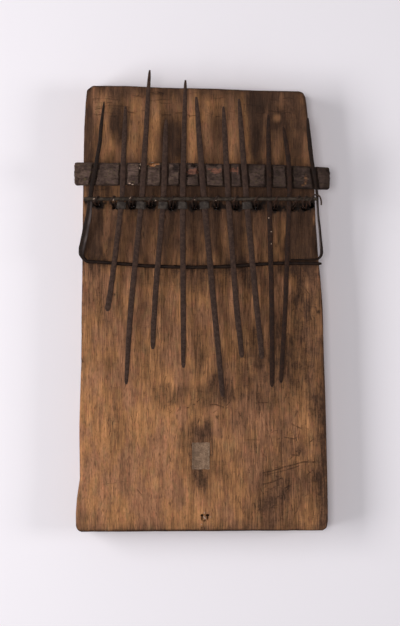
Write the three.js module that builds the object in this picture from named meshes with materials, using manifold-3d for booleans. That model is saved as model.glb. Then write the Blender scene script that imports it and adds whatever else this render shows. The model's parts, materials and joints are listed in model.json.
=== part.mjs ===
// Board lamellophone: nine forged tines lie over a wooden backrest and an iron front bridge, and a wire-
// lashed pressure bar holds them down between the two. The board lies on its back. X runs across it, Y
// along it towards the rear ends of the tines, and Z up. The origin is on the underside, in the middle of
// the board. Lengths are mm.
import * as THREE from 'three';
import { mergeVertices } from 'three/addons/utils/BufferGeometryUtils.js';
import Module from 'manifold-3d';

const wasm = await Module();
wasm.setup();

// Fits
const seatGap = 0.3; // between two pieces that press on each other
const notchSideGap = 0.6; // beside a tine in its notch
const cutOverrun = 1; // how far a cut runs past the surface it starts from

// Facets
const edgeSteps = 3; // of a rounded edge or a bend
const wrapSteps = 14; // of the wire's turn over the bar
const rodSides = 12;
const smallHoleSides = 8;
const wireSides = 6;

// Board
const boardLength = 230;
const boardWidth = 130;
const boardThickness = 22;
const boardEdgeRound = 1.5;
const fixingHoleDiameter = 1.2; // the pair near the player's edge
const fixingHoleDepth = 7;
const fixingHoleInset = 8.2;
const fixingHoleSpacing = 3.2;

// Backrest
const backrestHeight = 7;
const backrestDepth = 12;
const backrestOverhang = 1; // past the board's widest line, at each end
const backrestRound = 1.8;
const backrestEndRound = 0.9; // how far each end is worn back to a smaller section
const backrestFromRear = 46; // from the board's rear edge to the middle of the backrest
const notchDepth = 1.3;

// Pressure bar
const barDiameter = 1.7;
const barSetback = 12.7; // from the middle of the backrest forward to the bar

// Front bridge and arms
const bridgeHeight = 3;
const bridgeWidth = 1.8;
const bridgeSetback = 32; // from the pressure bar forward to the ends of the bridge
const bridgeBow = 3; // how far the middle of the rod stands forward of its left end
const armWidth = 3.2; // of the left arm near its bend, where it is widest
const armEndLift = 1.6; // how far an arm's rear end rises above the line of the tines

// Tines
const tineWidth = 2.9;
const tineThickness = 1.5;
const longestTongue = 66.7; // the longest playing end, from the bridge to its tip
const longestRearEnd = 66; // the longest rear end, from the pressure bar to its tip
const tongueRiseShare = 0.075; // how far a playing end rises, as a share of its length
const rearLift = 1.5; // how far a rear end's tip rises above the straight line
const tuningReach = 3; // each way along the tine

// Buzzers, bent from sheet iron
const buzzerSheet = 0.7;
const buzzerSeam = 0.7;
const buzzerLength = 4;

// Lashing wire
const wireDiameter = 0.8;
const strandGap = 0.44; // between the two strands in one hole
const wrapSpread = 1.3; // half the width of a wrap on the bar
const holeSetback = 3.7; // from the bar forward to the row of holes
const stitchLift = 1; // from the underside up to the wire of a stitch
const stitchRoom = 0.6; // between the wire of a stitch and the top of its groove
const stitchBend = 1;
const wireTail = 4;
const grooveWidth = 5;

// Paper label
const labelWidth = 9;
const labelLength = 13.9;
const labelThickness = 0.25;
const labelFromFront = 38.8; // from the board's front edge to the middle of the label
const labelOffset = -0.6;

// Places as shares of half the board's width and half its length
const rightSideShares = [
  [0.963, -0.999], [0.994, -0.987], [1.004, -0.957], [1.002, -0.861], [0.995, -0.635], [0.986, -0.409],
  [0.974, -0.226], [0.962, 0], [0.945, 0.139], [0.929, 0.226], [0.906, 0.383], [0.897, 0.522],
  [0.889, 0.67], [0.874, 0.757], [0.846, 0.848], [0.834, 0.922], [0.825, 0.952], [0.806, 0.972],
  [0.774, 0.979],
];
const rearSideShares = [[0.446, 0.981], [0.154, 0.989], [-0.308, 0.994], [-0.615, 1.002], [-0.871, 1.003]];
const leftSideShares = [
  [-0.917, 0.984], [-0.928, 0.922], [-0.94, 0.8], [-0.949, 0.522], [-0.957, 0.087], [-0.965, -0.243],
  [-0.977, -0.522], [-0.975, -0.765], [-0.997, -0.852], [-1.006, -0.922], [-1.005, -0.979], [-0.994, -0.996],
  [-0.966, -1.006],
];

// The backrest's line, as shares of half its length, and of its depth across
const backrestLineShares = [[-1, 0.03], [-0.5, 0.02], [0, 0], [0.5, -0.05], [1, -0.17]];
const backrestEndShare = 0.84; // of its depth and height, at each worn end

// Nine tines from left to right. Places across are shares of half the board's width: at the tip of the
// rear end, under the pressure bar, on the bridge and at the tip of the playing end. Reaches are shares of
// the longest rear end or playing end, the bow of a rear end and the width are shares of the tines' width,
// and the width before the tip of the playing end is a share of the tine's own.
const tineShares = [
  { rear: -0.605, bar: -0.633, bridge: -0.7, tip: -0.753, back: 0.719, reach: 0.341, wide: 0.95, end: 1.1 },
  { rear: -0.412, bar: -0.477, bridge: -0.533, tip: -0.6, back: 1, reach: 0.905, wide: 1, end: 0.78 },
  { rear: -0.282, bar: -0.305, bridge: -0.352, tip: -0.389, back: 0.616, reach: 0.634, wide: 1, end: 0.92 },
  { rear: -0.131, bar: -0.154, bridge: -0.151, tip: -0.147, back: 0.923, reach: 0.777, wide: 1, end: 0.85 },
  { rear: -0.045, bar: 0.015, bridge: 0.066, tip: 0.165, back: 0.793, reach: 1, wide: 1.05, end: 0.95 },
  { rear: 0.168, bar: 0.208, bridge: 0.249, tip: 0.318, back: 0.719, reach: 0.698, wide: 1, end: 1 },
  { rear: 0.291, bar: 0.352, bridge: 0.403, tip: 0.476, back: 0.778, reach: 0.707, wide: 1.03, end: 0.92 },
  { rear: 0.523, bar: 0.533, bridge: 0.546, tip: 0.554, back: 0.655, reach: 0.925, wide: 0.9, end: 1 },
  {
    rear: 0.64, bar: 0.691, bridge: 0.672, tip: 0.622, back: 0.561, reach: 0.893, wide: 0.84, end: 0.95,
    bow: 0.44,
  },
];
const buzzedTines = [1, 2, 3, 4, 5, 7];
const forgedRoundShare = 0.28; // the corners of a forged strip, as a share of its thickness
const heldStopShares = [0, 0.35, 0.7, 1]; // from the bar back to where a tine has left the backrest
// Shares of a tine's width and thickness along its rear end, from where the taper starts to the tip
const rearTaperShares = [[0.5, 0.88, 0.8], [0.8, 0.68, 0.65], [0.95, 0.5, 0.5], [1, 0.28, 0.35]];
// Along a playing end: how far its width has come to the one before the tip, and the shares of that width
// and of the thickness that are left
const tongueTaperShares = [
  { way: 0.2, change: 0, wide: 1, thick: 0.9 }, { way: 0.4, change: 0.1, wide: 1, thick: 0.82 },
  { way: 0.6, change: 0.4, wide: 1, thick: 0.76 }, { way: 0.8, change: 0.8, wide: 1, thick: 0.7 },
  { way: 0.92, change: 1, wide: 0.97, thick: 0.64 }, { way: 0.975, change: 1, wide: 0.82, thick: 0.56 },
  { way: 1, change: 1, wide: 0.42, thick: 0.4 },
];
const buzzerRoundShare = 1.6; // a sleeve's outer corners, as a share of its sheet
const barEndShares = [-0.936, 0.914];

// Thirteen lashings from left to right: the hole and the wrap on the bar as shares of half the board's
// width, and how far the hole lies forward of its row as a share of the wire's diameter.
const lashingShares = [
  { hole: -0.832, wrap: -0.835, forward: -1.1 }, { hole: -0.697, wrap: -0.709, forward: 0 },
  { hole: -0.561, wrap: -0.558, forward: 0 }, { hole: -0.41, wrap: -0.402, forward: -0.3 },
  { hole: -0.243, wrap: -0.236, forward: 0.6 }, { hole: -0.06, wrap: -0.061, forward: 0.6 },
  { hole: 0.114, wrap: 0.111, forward: 0.3 }, { hole: 0.265, wrap: 0.267, forward: 0.6 },
  { hole: 0.43, wrap: 0.433, forward: 0.3 }, { hole: 0.585, wrap: 0.593, forward: 1.2 },
  { hole: 0.712, wrap: 0.756, forward: 1.2 }, { hole: 0.816, wrap: 0.813, forward: 0.9 },
  { hole: 0.869, wrap: 0.868, forward: -0.7 },
];

// The bridge rod from right to left: places across as before, and shares of the bow
const bridgeRodShares = [
  [0.95, 0.5], [0.9, 0.33], [0.75, 0.3], [0.6, 0.3], [0.47, 0.47], [0.31, 0.7], [0.15, 0.93],
  [-0.08, 1], [-0.25, 0.93], [-0.45, 0.77], [-0.6, 0.47], [-0.81, 0.13], [-0.915, 0],
];
// Each arm: across as before, along as a share of the way from the bridge's end to the pressure bar, where
// 1 is under the bar, up as a share of the height of the tines' line there, where 0 is the height that the
// arm starts at, and its width as a share of the widest. The right one starts with a thin tail that lies
// behind the rod.
const leftArmShares = [
  [-0.942, 0.05, 0, 0.6], [-0.959, 0.12, 0.02, 0.84], [-0.956, 0.2, 0.08, 1], [-0.947, 0.28, 0.16, 1],
  [-0.936, 0.38, 0.3, 1], [-0.923, 0.51, 0.52, 1], [-0.905, 0.67, 0.82, 0.96], [-0.894, 0.8, 0.96, 0.87],
  [-0.888, 0.93, 1, 0.75], [-0.883, 1.05, 1, 0.69], [-0.871, 1.22, 1, 0.69], [-0.852, 1.4, 1, 0.7],
  [-0.83, 1.64, 1, 0.63], [-0.805, 1.93, 1, 0.61], [-0.799, 2.125, 1, 0.6], [-0.79, 2.287, 1, 0.5],
  [-0.779, 2.447, 1, 0.4], [-0.773, 2.56, 1, 0.22],
];
const rightArmShares = [
  [0.7, 0.027, 0, 0.2], [0.8, 0.027, 0, 0.26], [0.89, 0.028, 0, 0.3], [0.925, 0.045, 0, 0.36],
  [0.943, 0.08, 0.02, 0.46], [0.95, 0.13, 0.06, 0.51], [0.949, 0.19, 0.12, 0.53], [0.945, 0.27, 0.24, 0.5],
  [0.94, 0.38, 0.42, 0.45], [0.934, 0.51, 0.64, 0.42], [0.926, 0.64, 0.84, 0.4], [0.919, 0.76, 0.95, 0.38],
  [0.914, 0.93, 1, 0.4], [0.913, 1.05, 1, 0.42], [0.902, 1.2, 1, 0.46], [0.888, 1.4, 1, 0.58],
  [0.869, 1.61, 1, 0.64], [0.856, 1.8, 1, 0.7], [0.848, 1.96, 1, 0.68], [0.84, 2.12, 1, 0.6],
  [0.836, 2.24, 1, 0.45], [0.834, 2.3, 1, 0.26],
];
const armFlatShares = [0.05, 0.5]; // along the left arm, where the rod turns into a flat strip
const armRiseStartShare = 1.8;
const armThinShares = [[0, 1], [0.8, 0.85], [1, 0.5]]; // of an arm's thickness, from the bar to its rear end
const looseTurnSteps = 4; // of the last wrap, which its loose end leaves out
const neighbourShare = 4; // stretches of wire closer than this along it are neighbours, in wire diameters
// The loose end of the wire, across as before and along, up as shares of the wrap's radius from the bar's
// axis
const looseEndShares = [
  [0.884, 1.25, 0.2], [0.897, 1.3, 0.5], [0.911, 1.25, 0.6], [0.921, 0.75, 0.45], [0.927, -0.1, 0.2],
  [0.929, -1.1, 0], [0.928, -2, -0.2],
];

// Worked-out places
const halfWidth = boardWidth / 2;
const halfLength = boardLength / 2;
const backrestY = halfLength - backrestFromRear;
const barY = backrestY - barSetback;
const bridgeEndY = barY - bridgeSetback;
const bridgeSeatY = bridgeEndY - bridgeBow;
const hingeY = bridgeSeatY - bridgeWidth / 2 - tuningReach - seatGap;
const tineSlope = (backrestHeight - notchDepth - bridgeHeight) / (backrestY - bridgeSeatY);
const barRadius = barDiameter / 2;
const wireRadius = wireDiameter / 2;
const strandOffset = wireRadius + strandGap / 2;
const holeRadius = strandOffset + wireRadius + seatGap;
const wrapRadius = barRadius + seatGap + wireRadius;
const stitchZ = stitchLift + wireRadius;
const grooveDepth = stitchZ + wireRadius + stitchRoom;
const holeRowY = barY - holeSetback;

const tineFootZ = (y) => boardThickness + bridgeHeight + seatGap + (y - bridgeSeatY) * tineSlope;
const tineCentreZ = (y) => tineFootZ(y) + tineThickness / 2;
const barZ = tineFootZ(barY) + tineThickness + seatGap + barRadius;

const lerp = THREE.MathUtils.lerp;

// Materials
const woodMaterial = (color) => new THREE.MeshStandardMaterial({ color, roughness: 0.75, metalness: 0 });
const ironMaterial = (color) => new THREE.MeshStandardMaterial({ color, roughness: 0.6, metalness: 0.6 });

const part = new THREE.Group();

function addPiece(name, geometry, material) {
  const mesh = new THREE.Mesh(geometry, material);
  mesh.name = name;
  part.add(mesh);
  return mesh;
}

// Closed solids and booleans
function toManifold(geometry) {
  const bare = geometry.clone();
  bare.deleteAttribute('normal');
  bare.deleteAttribute('uv');
  const merged = mergeVertices(bare);
  const vertProperties = new Float32Array(merged.attributes.position.array);
  const triVerts = new Uint32Array(merged.index.array);
  return new wasm.Manifold(new wasm.Mesh({ numProp: 3, vertProperties, triVerts }));
}

function toGeometry(solid) {
  const mesh = solid.getMesh();
  const geometry = new THREE.BufferGeometry();
  geometry.setAttribute('position', new THREE.BufferAttribute(new Float32Array(mesh.vertProperties), 3));
  geometry.setIndex(new THREE.BufferAttribute(new Uint32Array(mesh.triVerts), 1));
  geometry.computeVertexNormals();
  return geometry;
}

function cutAll(geometry, cutters) {
  const cut = (solid, cutter) => solid.subtract(toManifold(cutter));
  return toGeometry(cutters.reduce(cut, toManifold(geometry)));
}

// Rings of points along a path, joined into one closed solid with flat ends
function loft(rings) {
  const sides = rings[0].length;
  const last = (rings.length - 1) * sides;
  const index = [];
  for (let ring = 0; ring < rings.length - 1; ring++) {
    for (let side = 0; side < sides; side++) {
      const a = ring * sides + side;
      const b = ring * sides + ((side + 1) % sides);
      index.push(a, b, b + sides, a, b + sides, a + sides);
    }
  }
  for (let side = 1; side < sides - 1; side++) {
    index.push(0, side + 1, side, last, last + side, last + side + 1);
  }
  const geometry = new THREE.BufferGeometry();
  const points = rings.flat().flatMap((point) => point.toArray());
  geometry.setAttribute('position', new THREE.Float32BufferAttribute(points, 3));
  geometry.setIndex(index);
  geometry.computeVertexNormals();
  return geometry;
}

function directionsAlong(path) {
  return path.map((point, i) => {
    const from = path[Math.max(i - 1, 0)];
    const to = path[Math.min(i + 1, path.length - 1)];
    const before = new THREE.Vector3().subVectors(point, from).normalize();
    const after = new THREE.Vector3().subVectors(to, point).normalize();
    return before.add(after).normalize();
  });
}

// A section carried along a path with its height kept upright
function sweepUpright(path, sectionAt) {
  const up = new THREE.Vector3(0, 0, 1);
  const directions = directionsAlong(path);
  return loft(path.map((point, i) => {
    const across = new THREE.Vector3().crossVectors(up, directions[i]).normalize();
    const upward = new THREE.Vector3().crossVectors(directions[i], across);
    return sectionAt(i).map(([u, v]) => point.clone().addScaledVector(across, u).addScaledVector(upward, v));
  }));
}

// A round wire along a path, its section turned with the path and never twisted
function wireAlong(path, radius, sides) {
  const directions = directionsAlong(path);
  let across = new THREE.Vector3(0, 1, 0).cross(directions[0]).normalize();
  const turn = new THREE.Quaternion();
  return loft(path.map((point, i) => {
    if (i > 0) {
      turn.setFromUnitVectors(directions[i - 1], directions[i]);
      across = across.applyQuaternion(turn).projectOnPlane(directions[i]).normalize();
    }
    const upward = new THREE.Vector3().crossVectors(directions[i], across);
    const ring = [];
    for (let side = 0; side < sides; side++) {
      const angle = (side / sides) * Math.PI * 2;
      const spoke = point.clone().addScaledVector(across, Math.cos(angle) * radius);
      ring.push(spoke.addScaledVector(upward, Math.sin(angle) * radius));
    }
    return ring;
  }));
}

// A bar's section: a rectangle with its corners taken off, or rounded in several steps
function barSection(width, height, round, steps = 1) {
  const section = [];
  const corners = [[1, 1], [-1, 1], [-1, -1], [1, -1]];
  corners.forEach(([signX, signZ], quarter) => {
    for (let step = 0; step <= steps; step++) {
      const angle = ((quarter + step / steps) * Math.PI) / 2;
      const u = signX * (width / 2 - round) + Math.cos(angle) * round;
      const v = signZ * (height / 2 - round) + Math.sin(angle) * round;
      section.push([u, v]);
    }
  });
  return section;
}

function shareAt(table, share, column) {
  const after = Math.max(table.findIndex((row) => row[0] >= share), 1);
  const [from, to] = [table[after - 1], table[after]];
  return lerp(from[column], to[column], (share - from[0]) / (to[0] - from[0]));
}

const onBoard = ([across, along]) => new THREE.Vector2(across * halfWidth, along * halfLength);

// Board: a carved plank with worn edges, holes for the lashings and a groove for their stitches on the
// underside
function boardOutline() {
  const outline = new THREE.Shape();
  const start = onBoard(leftSideShares.at(-1));
  outline.moveTo(start.x, start.y);
  [...rightSideShares, ...rearSideShares, ...leftSideShares].map(onBoard).forEach((point) => {
    outline.lineTo(point.x, point.y);
  });
  return outline;
}

function boardBlank() {
  const blank = new THREE.ExtrudeGeometry(boardOutline(), {
    depth: boardThickness - boardEdgeRound * 2,
    bevelThickness: boardEdgeRound,
    bevelSize: boardEdgeRound,
    bevelOffset: -boardEdgeRound,
    bevelSegments: edgeSteps,
  });
  return blank.translate(0, 0, boardEdgeRound);
}

function uprightHole(x, y, radius, bottom, top, sides) {
  const hole = new THREE.CylinderGeometry(radius, radius, top - bottom, sides);
  return hole.rotateX(Math.PI / 2).translate(x, y, (bottom + top) / 2);
}

const lashings = lashingShares.map((share) => ({
  holeX: share.hole * halfWidth,
  wrapX: share.wrap * halfWidth,
  holeY: holeRowY - share.forward * wireDiameter,
}));

function lashingHoles() {
  return lashings.map(({ holeX, holeY }) => (
    uprightHole(holeX, holeY, holeRadius, -cutOverrun, boardThickness + cutOverrun, rodSides)
  ));
}

function stitchGroove() {
  const from = lashings[0].holeX - strandOffset - wireTail - seatGap;
  const to = lashings.at(-1).holeX;
  const depth = grooveDepth + cutOverrun;
  const groove = new THREE.BoxGeometry(to - from, grooveWidth, depth);
  return groove.translate((from + to) / 2, holeRowY - wireRadius, grooveDepth - depth / 2);
}

function fixingHoles() {
  return [-1, 1].map((side) => uprightHole(
    labelOffset + (side * fixingHoleSpacing) / 2 + fixingHoleSpacing,
    fixingHoleInset - halfLength,
    fixingHoleDiameter / 2,
    boardThickness - fixingHoleDepth,
    boardThickness + cutOverrun,
    smallHoleSides,
  ));
}

const boardCuts = [...lashingHoles(), stitchGroove(), ...fixingHoles()];
addPiece('board', cutAll(boardBlank(), boardCuts), woodMaterial(0x8b5d3b));

// Tines: the held stretch runs straight from the backrest to the hinge, and its rear end tapers to a point
function rearX(share, y) {
  const way = (y - barY) / (share.back * longestRearEnd);
  const straight = lerp(share.bar, share.rear, way) * halfWidth;
  const bow = (share.bow ?? 0) * tineWidth;
  return straight + bow * 4 * way * (1 - way);
}

function heldX(share, y) {
  return lerp(share.bar, share.bridge, (barY - y) / (barY - bridgeSeatY)) * halfWidth;
}

const widthOf = (share) => share.wide * tineWidth;

const tineSection = (share, widthShare, thicknessShare) => {
  const width = widthOf(share) * widthShare;
  const thickness = tineThickness * thicknessShare;
  return barSection(width, thickness, Math.min(width, thickness) * forgedRoundShare);
};

// The front direction of a tine's held stretch, along which it slides
function slideDirection(share) {
  const barPoint = new THREE.Vector3(heldX(share, barY), barY, tineCentreZ(barY));
  const bridgePoint = new THREE.Vector3(heldX(share, bridgeSeatY), bridgeSeatY, tineCentreZ(bridgeSeatY));
  return bridgePoint.sub(barPoint).normalize();
}

const hingePoint = (share) => new THREE.Vector3(heldX(share, hingeY), hingeY, tineCentreZ(hingeY));

function heldTine(share) {
  const tipY = barY + share.back * longestRearEnd;
  const clearY = backrestY + backrestDepth / 2 + tuningReach;
  const front = hingePoint(share).addScaledVector(slideDirection(share), -seatGap / 2);
  const held = heldStopShares.map((stop) => {
    const y = lerp(barY, clearY, stop);
    return new THREE.Vector3(rearX(share, y), y, tineCentreZ(y));
  });
  const rear = rearTaperShares.map(([way]) => {
    const y = lerp(clearY, tipY, way);
    return new THREE.Vector3(rearX(share, y), y, tineCentreZ(y) + rearLift * way * way);
  });
  const straight = [front, ...held];
  const tapers = [...straight.map(() => [0, 1, 1]), ...rearTaperShares];
  return sweepUpright([...straight, ...rear], (i) => tineSection(share, tapers[i][1], tapers[i][2]));
}

// Tongues: the playing ends, in line with the held stretch at the hinge and rising towards the tip
function tongueLength(share) {
  return hingeY - (bridgeSeatY - share.reach * longestTongue);
}

function tonguePoint(share, way) {
  const hinge = hingePoint(share);
  const length = tongueLength(share);
  const heading = slideDirection(share);
  const lean = heading.x / -heading.y;
  const run = way * length;
  const tipDrift = share.tip * halfWidth - (hinge.x + lean * length);
  const rise = (tongueRiseShare + tineSlope) * length * way * way - tineSlope * run;
  return new THREE.Vector3(hinge.x + lean * run + tipDrift * way * way, hinge.y - run, hinge.z + rise);
}

function tongue(share) {
  const start = hingePoint(share).addScaledVector(slideDirection(share), seatGap / 2);
  const path = [start, ...tongueTaperShares.map(({ way }) => tonguePoint(share, way))];
  return sweepUpright(path, (i) => {
    if (i === 0) {
      return tineSection(share, 1, 1);
    }
    const { change, wide, thick } = tongueTaperShares[i - 1];
    return tineSection(share, lerp(1, share.end, change) * wide, thick);
  });
}

tineShares.forEach((share, i) => {
  addPiece(`tine_${i + 1}`, heldTine(share), ironMaterial(0x40342f));
  addPiece(`tongue_${i + 1}`, tongue(share), ironMaterial(0x3a2e2a));
});

// Buzzers: sheet iron bent round a tine into an open sleeve, with the seam underneath
function buzzerOutline(share) {
  const innerWidth = widthOf(share) + seatGap * 2;
  const innerHeight = tineThickness + seatGap * 2;
  const [outerWidth, outerHeight] = [innerWidth + buzzerSheet * 2, innerHeight + buzzerSheet * 2];
  const outerRound = buzzerSheet * buzzerRoundShare;
  const innerRound = outerRound - buzzerSheet;
  const outer = barSection(outerWidth, outerHeight, outerRound, edgeSteps);
  const inner = barSection(innerWidth, innerHeight, innerRound, edgeSteps).reverse();
  const seam = buzzerSeam / 2;
  const turnPoint = outer.findIndex(([u, v], k) => k > 0 && u > 0 && outer[k - 1][0] < 0 && v < 0);
  const outerRun = [...outer.slice(turnPoint), ...outer.slice(0, turnPoint)];
  const innerTurn = inner.findIndex(([u, v], k) => k > 0 && u < 0 && inner[k - 1][0] > 0 && v < 0);
  const innerRun = [...inner.slice(innerTurn), ...inner.slice(0, innerTurn)];
  const lips = [[-seam, -outerHeight / 2], [-seam, -innerHeight / 2]];
  const otherLips = [[seam, -innerHeight / 2], [seam, -outerHeight / 2]];
  return [...outerRun, ...lips, ...innerRun, ...otherLips].map(([u, v]) => new THREE.Vector2(u, v));
}

function buzzer(share) {
  const sleeve = new THREE.ExtrudeGeometry(new THREE.Shape(buzzerOutline(share)), {
    depth: buzzerLength,
    bevelEnabled: false,
  });
  const heading = slideDirection(share);
  const across = new THREE.Vector3(0, 0, 1).cross(heading).normalize();
  const upward = new THREE.Vector3().crossVectors(heading, across);
  const backY = barY - barRadius - seatGap;
  const back = new THREE.Vector3(heldX(share, backY), backY, tineCentreZ(backY));
  sleeve.applyMatrix4(new THREE.Matrix4().makeBasis(across, upward, heading));
  return sleeve.translate(back.x, back.y, back.z);
}

buzzedTines.forEach((number) => {
  addPiece(`buzzer_${number}`, buzzer(tineShares[number - 1]), ironMaterial(0x45443c));
});

// Backrest: a rough wooden bar, notched where the tines and the arms cross it, with worn ends
const backrestPath = backrestLineShares.map(([along, drift]) => new THREE.Vector3(
  along * (halfWidth + backrestOverhang - backrestEndRound),
  backrestY + drift * backrestDepth,
  boardThickness + backrestHeight / 2,
));

function notchFor(x, y, lean, width, foot) {
  const depth = backrestHeight;
  const notch = new THREE.BoxGeometry(width + notchSideGap * 2, backrestDepth * 2, depth);
  notch.translate(0, 0, depth / 2 - seatGap);
  notch.rotateX(Math.atan(tineSlope));
  notch.rotateZ(-Math.atan(lean));
  return notch.translate(x, y, foot);
}

function tineNotches() {
  const reach = backrestDepth / 2;
  return tineShares.map((share) => {
    const lean = (rearX(share, backrestY + reach) - rearX(share, backrestY - reach)) / (reach * 2);
    return notchFor(rearX(share, backrestY), backrestY, lean, widthOf(share), tineFootZ(backrestY));
  });
}

// Arms: flat strips at the board's sides, held under the pressure bar, that run back over the backrest.
// The left one starts at the height of the rod that it is part of, and the right one lies on the board.
const armStartZ = {
  left: boardThickness + bridgeHeight / 2,
  right: boardThickness + seatGap + tineThickness / 2,
};

function armPath(shares, startZ) {
  return shares.map(([across, along, up]) => {
    const y = lerp(bridgeEndY, barY, along);
    const past = Math.max(along - armRiseStartShare, 0);
    const z = lerp(startZ, tineCentreZ(y), up) + armEndLift * past * past;
    return new THREE.Vector3(across * halfWidth, y, z);
  });
}

function armNotch(shares, path) {
  const after = path.findIndex((point) => point.y > backrestY);
  const [front, back] = [path[after - 1], path[after]];
  const lean = (back.x - front.x) / (back.y - front.y);
  const x = front.x + lean * (backrestY - front.y);
  const width = Math.max(shares[after - 1][3], shares[after][3]) * armWidth;
  return notchFor(x, backrestY, lean, width, tineFootZ(backrestY));
}

const leftArmPath = armPath(leftArmShares, armStartZ.left);
const rightArmPath = armPath(rightArmShares, armStartZ.right);

function backrest() {
  const section = barSection(backrestDepth, backrestHeight, backrestRound, edgeSteps);
  const wornSection = section.map((point) => point.map((place) => place * backrestEndShare));
  const wornEnd = (point, side) => point.clone().add(new THREE.Vector3(side * backrestEndRound, 0, 0));
  const path = [wornEnd(backrestPath[0], -1), ...backrestPath, wornEnd(backrestPath.at(-1), 1)];
  const blank = sweepUpright(path, (i) => (i === 0 || i === path.length - 1 ? wornSection : section));
  const armNotches = [armNotch(leftArmShares, leftArmPath), armNotch(rightArmShares, rightArmPath)];
  return cutAll(blank, [...tineNotches(), ...armNotches]);
}

addPiece('backrest', backrest(), woodMaterial(0x5b4636));

// Pressure bar: a straight iron rod across all the tines
function pressureBar() {
  const [from, to] = barEndShares.map((share) => share * halfWidth);
  const rod = new THREE.CylinderGeometry(barRadius, barRadius, to - from, rodSides);
  return rod.rotateZ(Math.PI / 2).translate((from + to) / 2, barY, barZ);
}

addPiece('pressure_bar', pressureBar(), ironMaterial(0x44463f));

// Front bridge: one rod across the board, bent round at the left into the left arm
function armSection(shares, i, flat) {
  const [, along, , wide] = shares[i];
  const way = (along - 1) / (shares.at(-1)[1] - 1);
  const width = armWidth * wide;
  const thickness = lerp(bridgeHeight, tineThickness, flat) * shareAt(armThinShares, Math.max(way, 0), 1);
  return barSection(width, thickness, Math.min(width, thickness) * forgedRoundShare);
}

function frontBridge() {
  const rod = bridgeRodShares.map(([across, bow]) => new THREE.Vector3(
    across * halfWidth,
    bridgeEndY - bow * bridgeBow,
    armStartZ.left,
  ));
  return sweepUpright([...rod, ...leftArmPath], (i) => {
    const arm = i - rod.length;
    if (arm < 0) {
      return barSection(bridgeWidth, bridgeHeight, bridgeWidth * forgedRoundShare);
    }
    const flat = THREE.MathUtils.smoothstep(leftArmShares[arm][1], ...armFlatShares);
    return armSection(leftArmShares, arm, flat);
  });
}

addPiece('front_bridge', frontBridge(), ironMaterial(0x2f2522));

// Right arm: the other strip, a separate piece whose front end is bent in behind the bridge's rod
function rightArm() {
  return sweepUpright(rightArmPath, (i) => armSection(rightArmShares, i, 1));
}

addPiece('right_arm', rightArm(), ironMaterial(0x33292a));

// Lashing wire: one unbroken wire that rises through each hole, wraps the bar, goes back down the same
// hole and runs on to the next in the groove. Its last end comes off the bar in a loose hook.
function bendUp(x, y, side) {
  const bend = [];
  for (let step = 0; step <= edgeSteps; step++) {
    const angle = (step / edgeSteps) * (Math.PI / 2);
    const out = (1 - Math.sin(angle)) * stitchBend * side;
    bend.push(new THREE.Vector3(x + out, y, stitchZ + (1 - Math.cos(angle)) * stitchBend));
  }
  return bend;
}

function wrapPoints({ holeX, wrapX, holeY }) {
  const rise = barZ - boardThickness;
  const back = barY - holeY;
  const bearing = Math.atan2(rise, back);
  const spread = Math.asin(wrapRadius / Math.hypot(rise, back));
  const from = bearing + Math.PI / 2 + spread;
  const sweep = Math.PI + spread * 2;
  const points = [];
  for (let step = 0; step <= wrapSteps; step++) {
    const way = step / wrapSteps;
    const angle = from - sweep * way;
    points.push(new THREE.Vector3(
      wrapX + wrapSpread * (way * 2 - 1),
      barY + Math.cos(angle) * wrapRadius,
      barZ + Math.sin(angle) * wrapRadius,
    ));
  }
  const mouth = (side) => new THREE.Vector3(holeX + side * strandOffset, holeY, boardThickness);
  return [mouth(-1), ...points, mouth(1)];
}

function wirePath() {
  const path = [new THREE.Vector3(lashings[0].holeX - strandOffset - wireTail, lashings[0].holeY, stitchZ)];
  lashings.forEach((lashing, i) => {
    const { holeX, holeY } = lashing;
    path.push(...bendUp(holeX - strandOffset, holeY, -1));
    if (i < lashings.length - 1) {
      path.push(...wrapPoints(lashing), ...bendUp(holeX + strandOffset, holeY, 1).reverse());
    } else {
      path.push(...wrapPoints(lashing).slice(0, -looseTurnSteps));
    }
  });
  const hook = looseEndShares.map(([across, along, up]) => new THREE.Vector3(
    across * halfWidth,
    barY + along * wrapRadius,
    barZ + up * wrapRadius,
  ));
  return [...path, ...hook];
}

// The least distance between two stretches of the wire's surface that aren't neighbours along it
function leastGap(path) {
  const samples = [];
  let travelled = 0;
  path.slice(1).forEach((point, i) => {
    const length = point.distanceTo(path[i]);
    const count = Math.ceil(length / wireRadius);
    for (let k = 0; k < count; k++) {
      samples.push({ at: travelled + (length * k) / count, point: path[i].clone().lerp(point, k / count) });
    }
    travelled += length;
  });
  let least = Infinity;
  samples.forEach((one, i) => {
    for (let j = i + 1; j < samples.length; j++) {
      if (samples[j].at - one.at > wireDiameter * neighbourShare) {
        least = Math.min(least, one.point.distanceTo(samples[j].point));
      }
    }
  });
  return least - wireDiameter;
}

const lashingPath = wirePath();
console.log(`least gap of the lashing wire to itself: ${leastGap(lashingPath).toFixed(2)} mm`);
addPiece('lashing_wire', wireAlong(lashingPath, wireRadius, wireSides), ironMaterial(0x4a463f));

// Paper label: a bare slip glued to the board
function paperLabel() {
  const slip = new THREE.BoxGeometry(labelWidth, labelLength, labelThickness);
  return slip.translate(labelOffset, labelFromFront - halfLength, boardThickness + labelThickness / 2);
}

const paper = new THREE.MeshStandardMaterial({ color: 0x8f8676, roughness: 0.9, metalness: 0 });
addPiece('paper_label', paperLabel(), paper);

export default part;
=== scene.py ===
import itertools
import json
import math

import bpy
import numpy as np
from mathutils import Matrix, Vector
from mathutils.bvhtree import BVHTree
from mathutils.geometry import delaunay_2d_cdt


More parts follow.
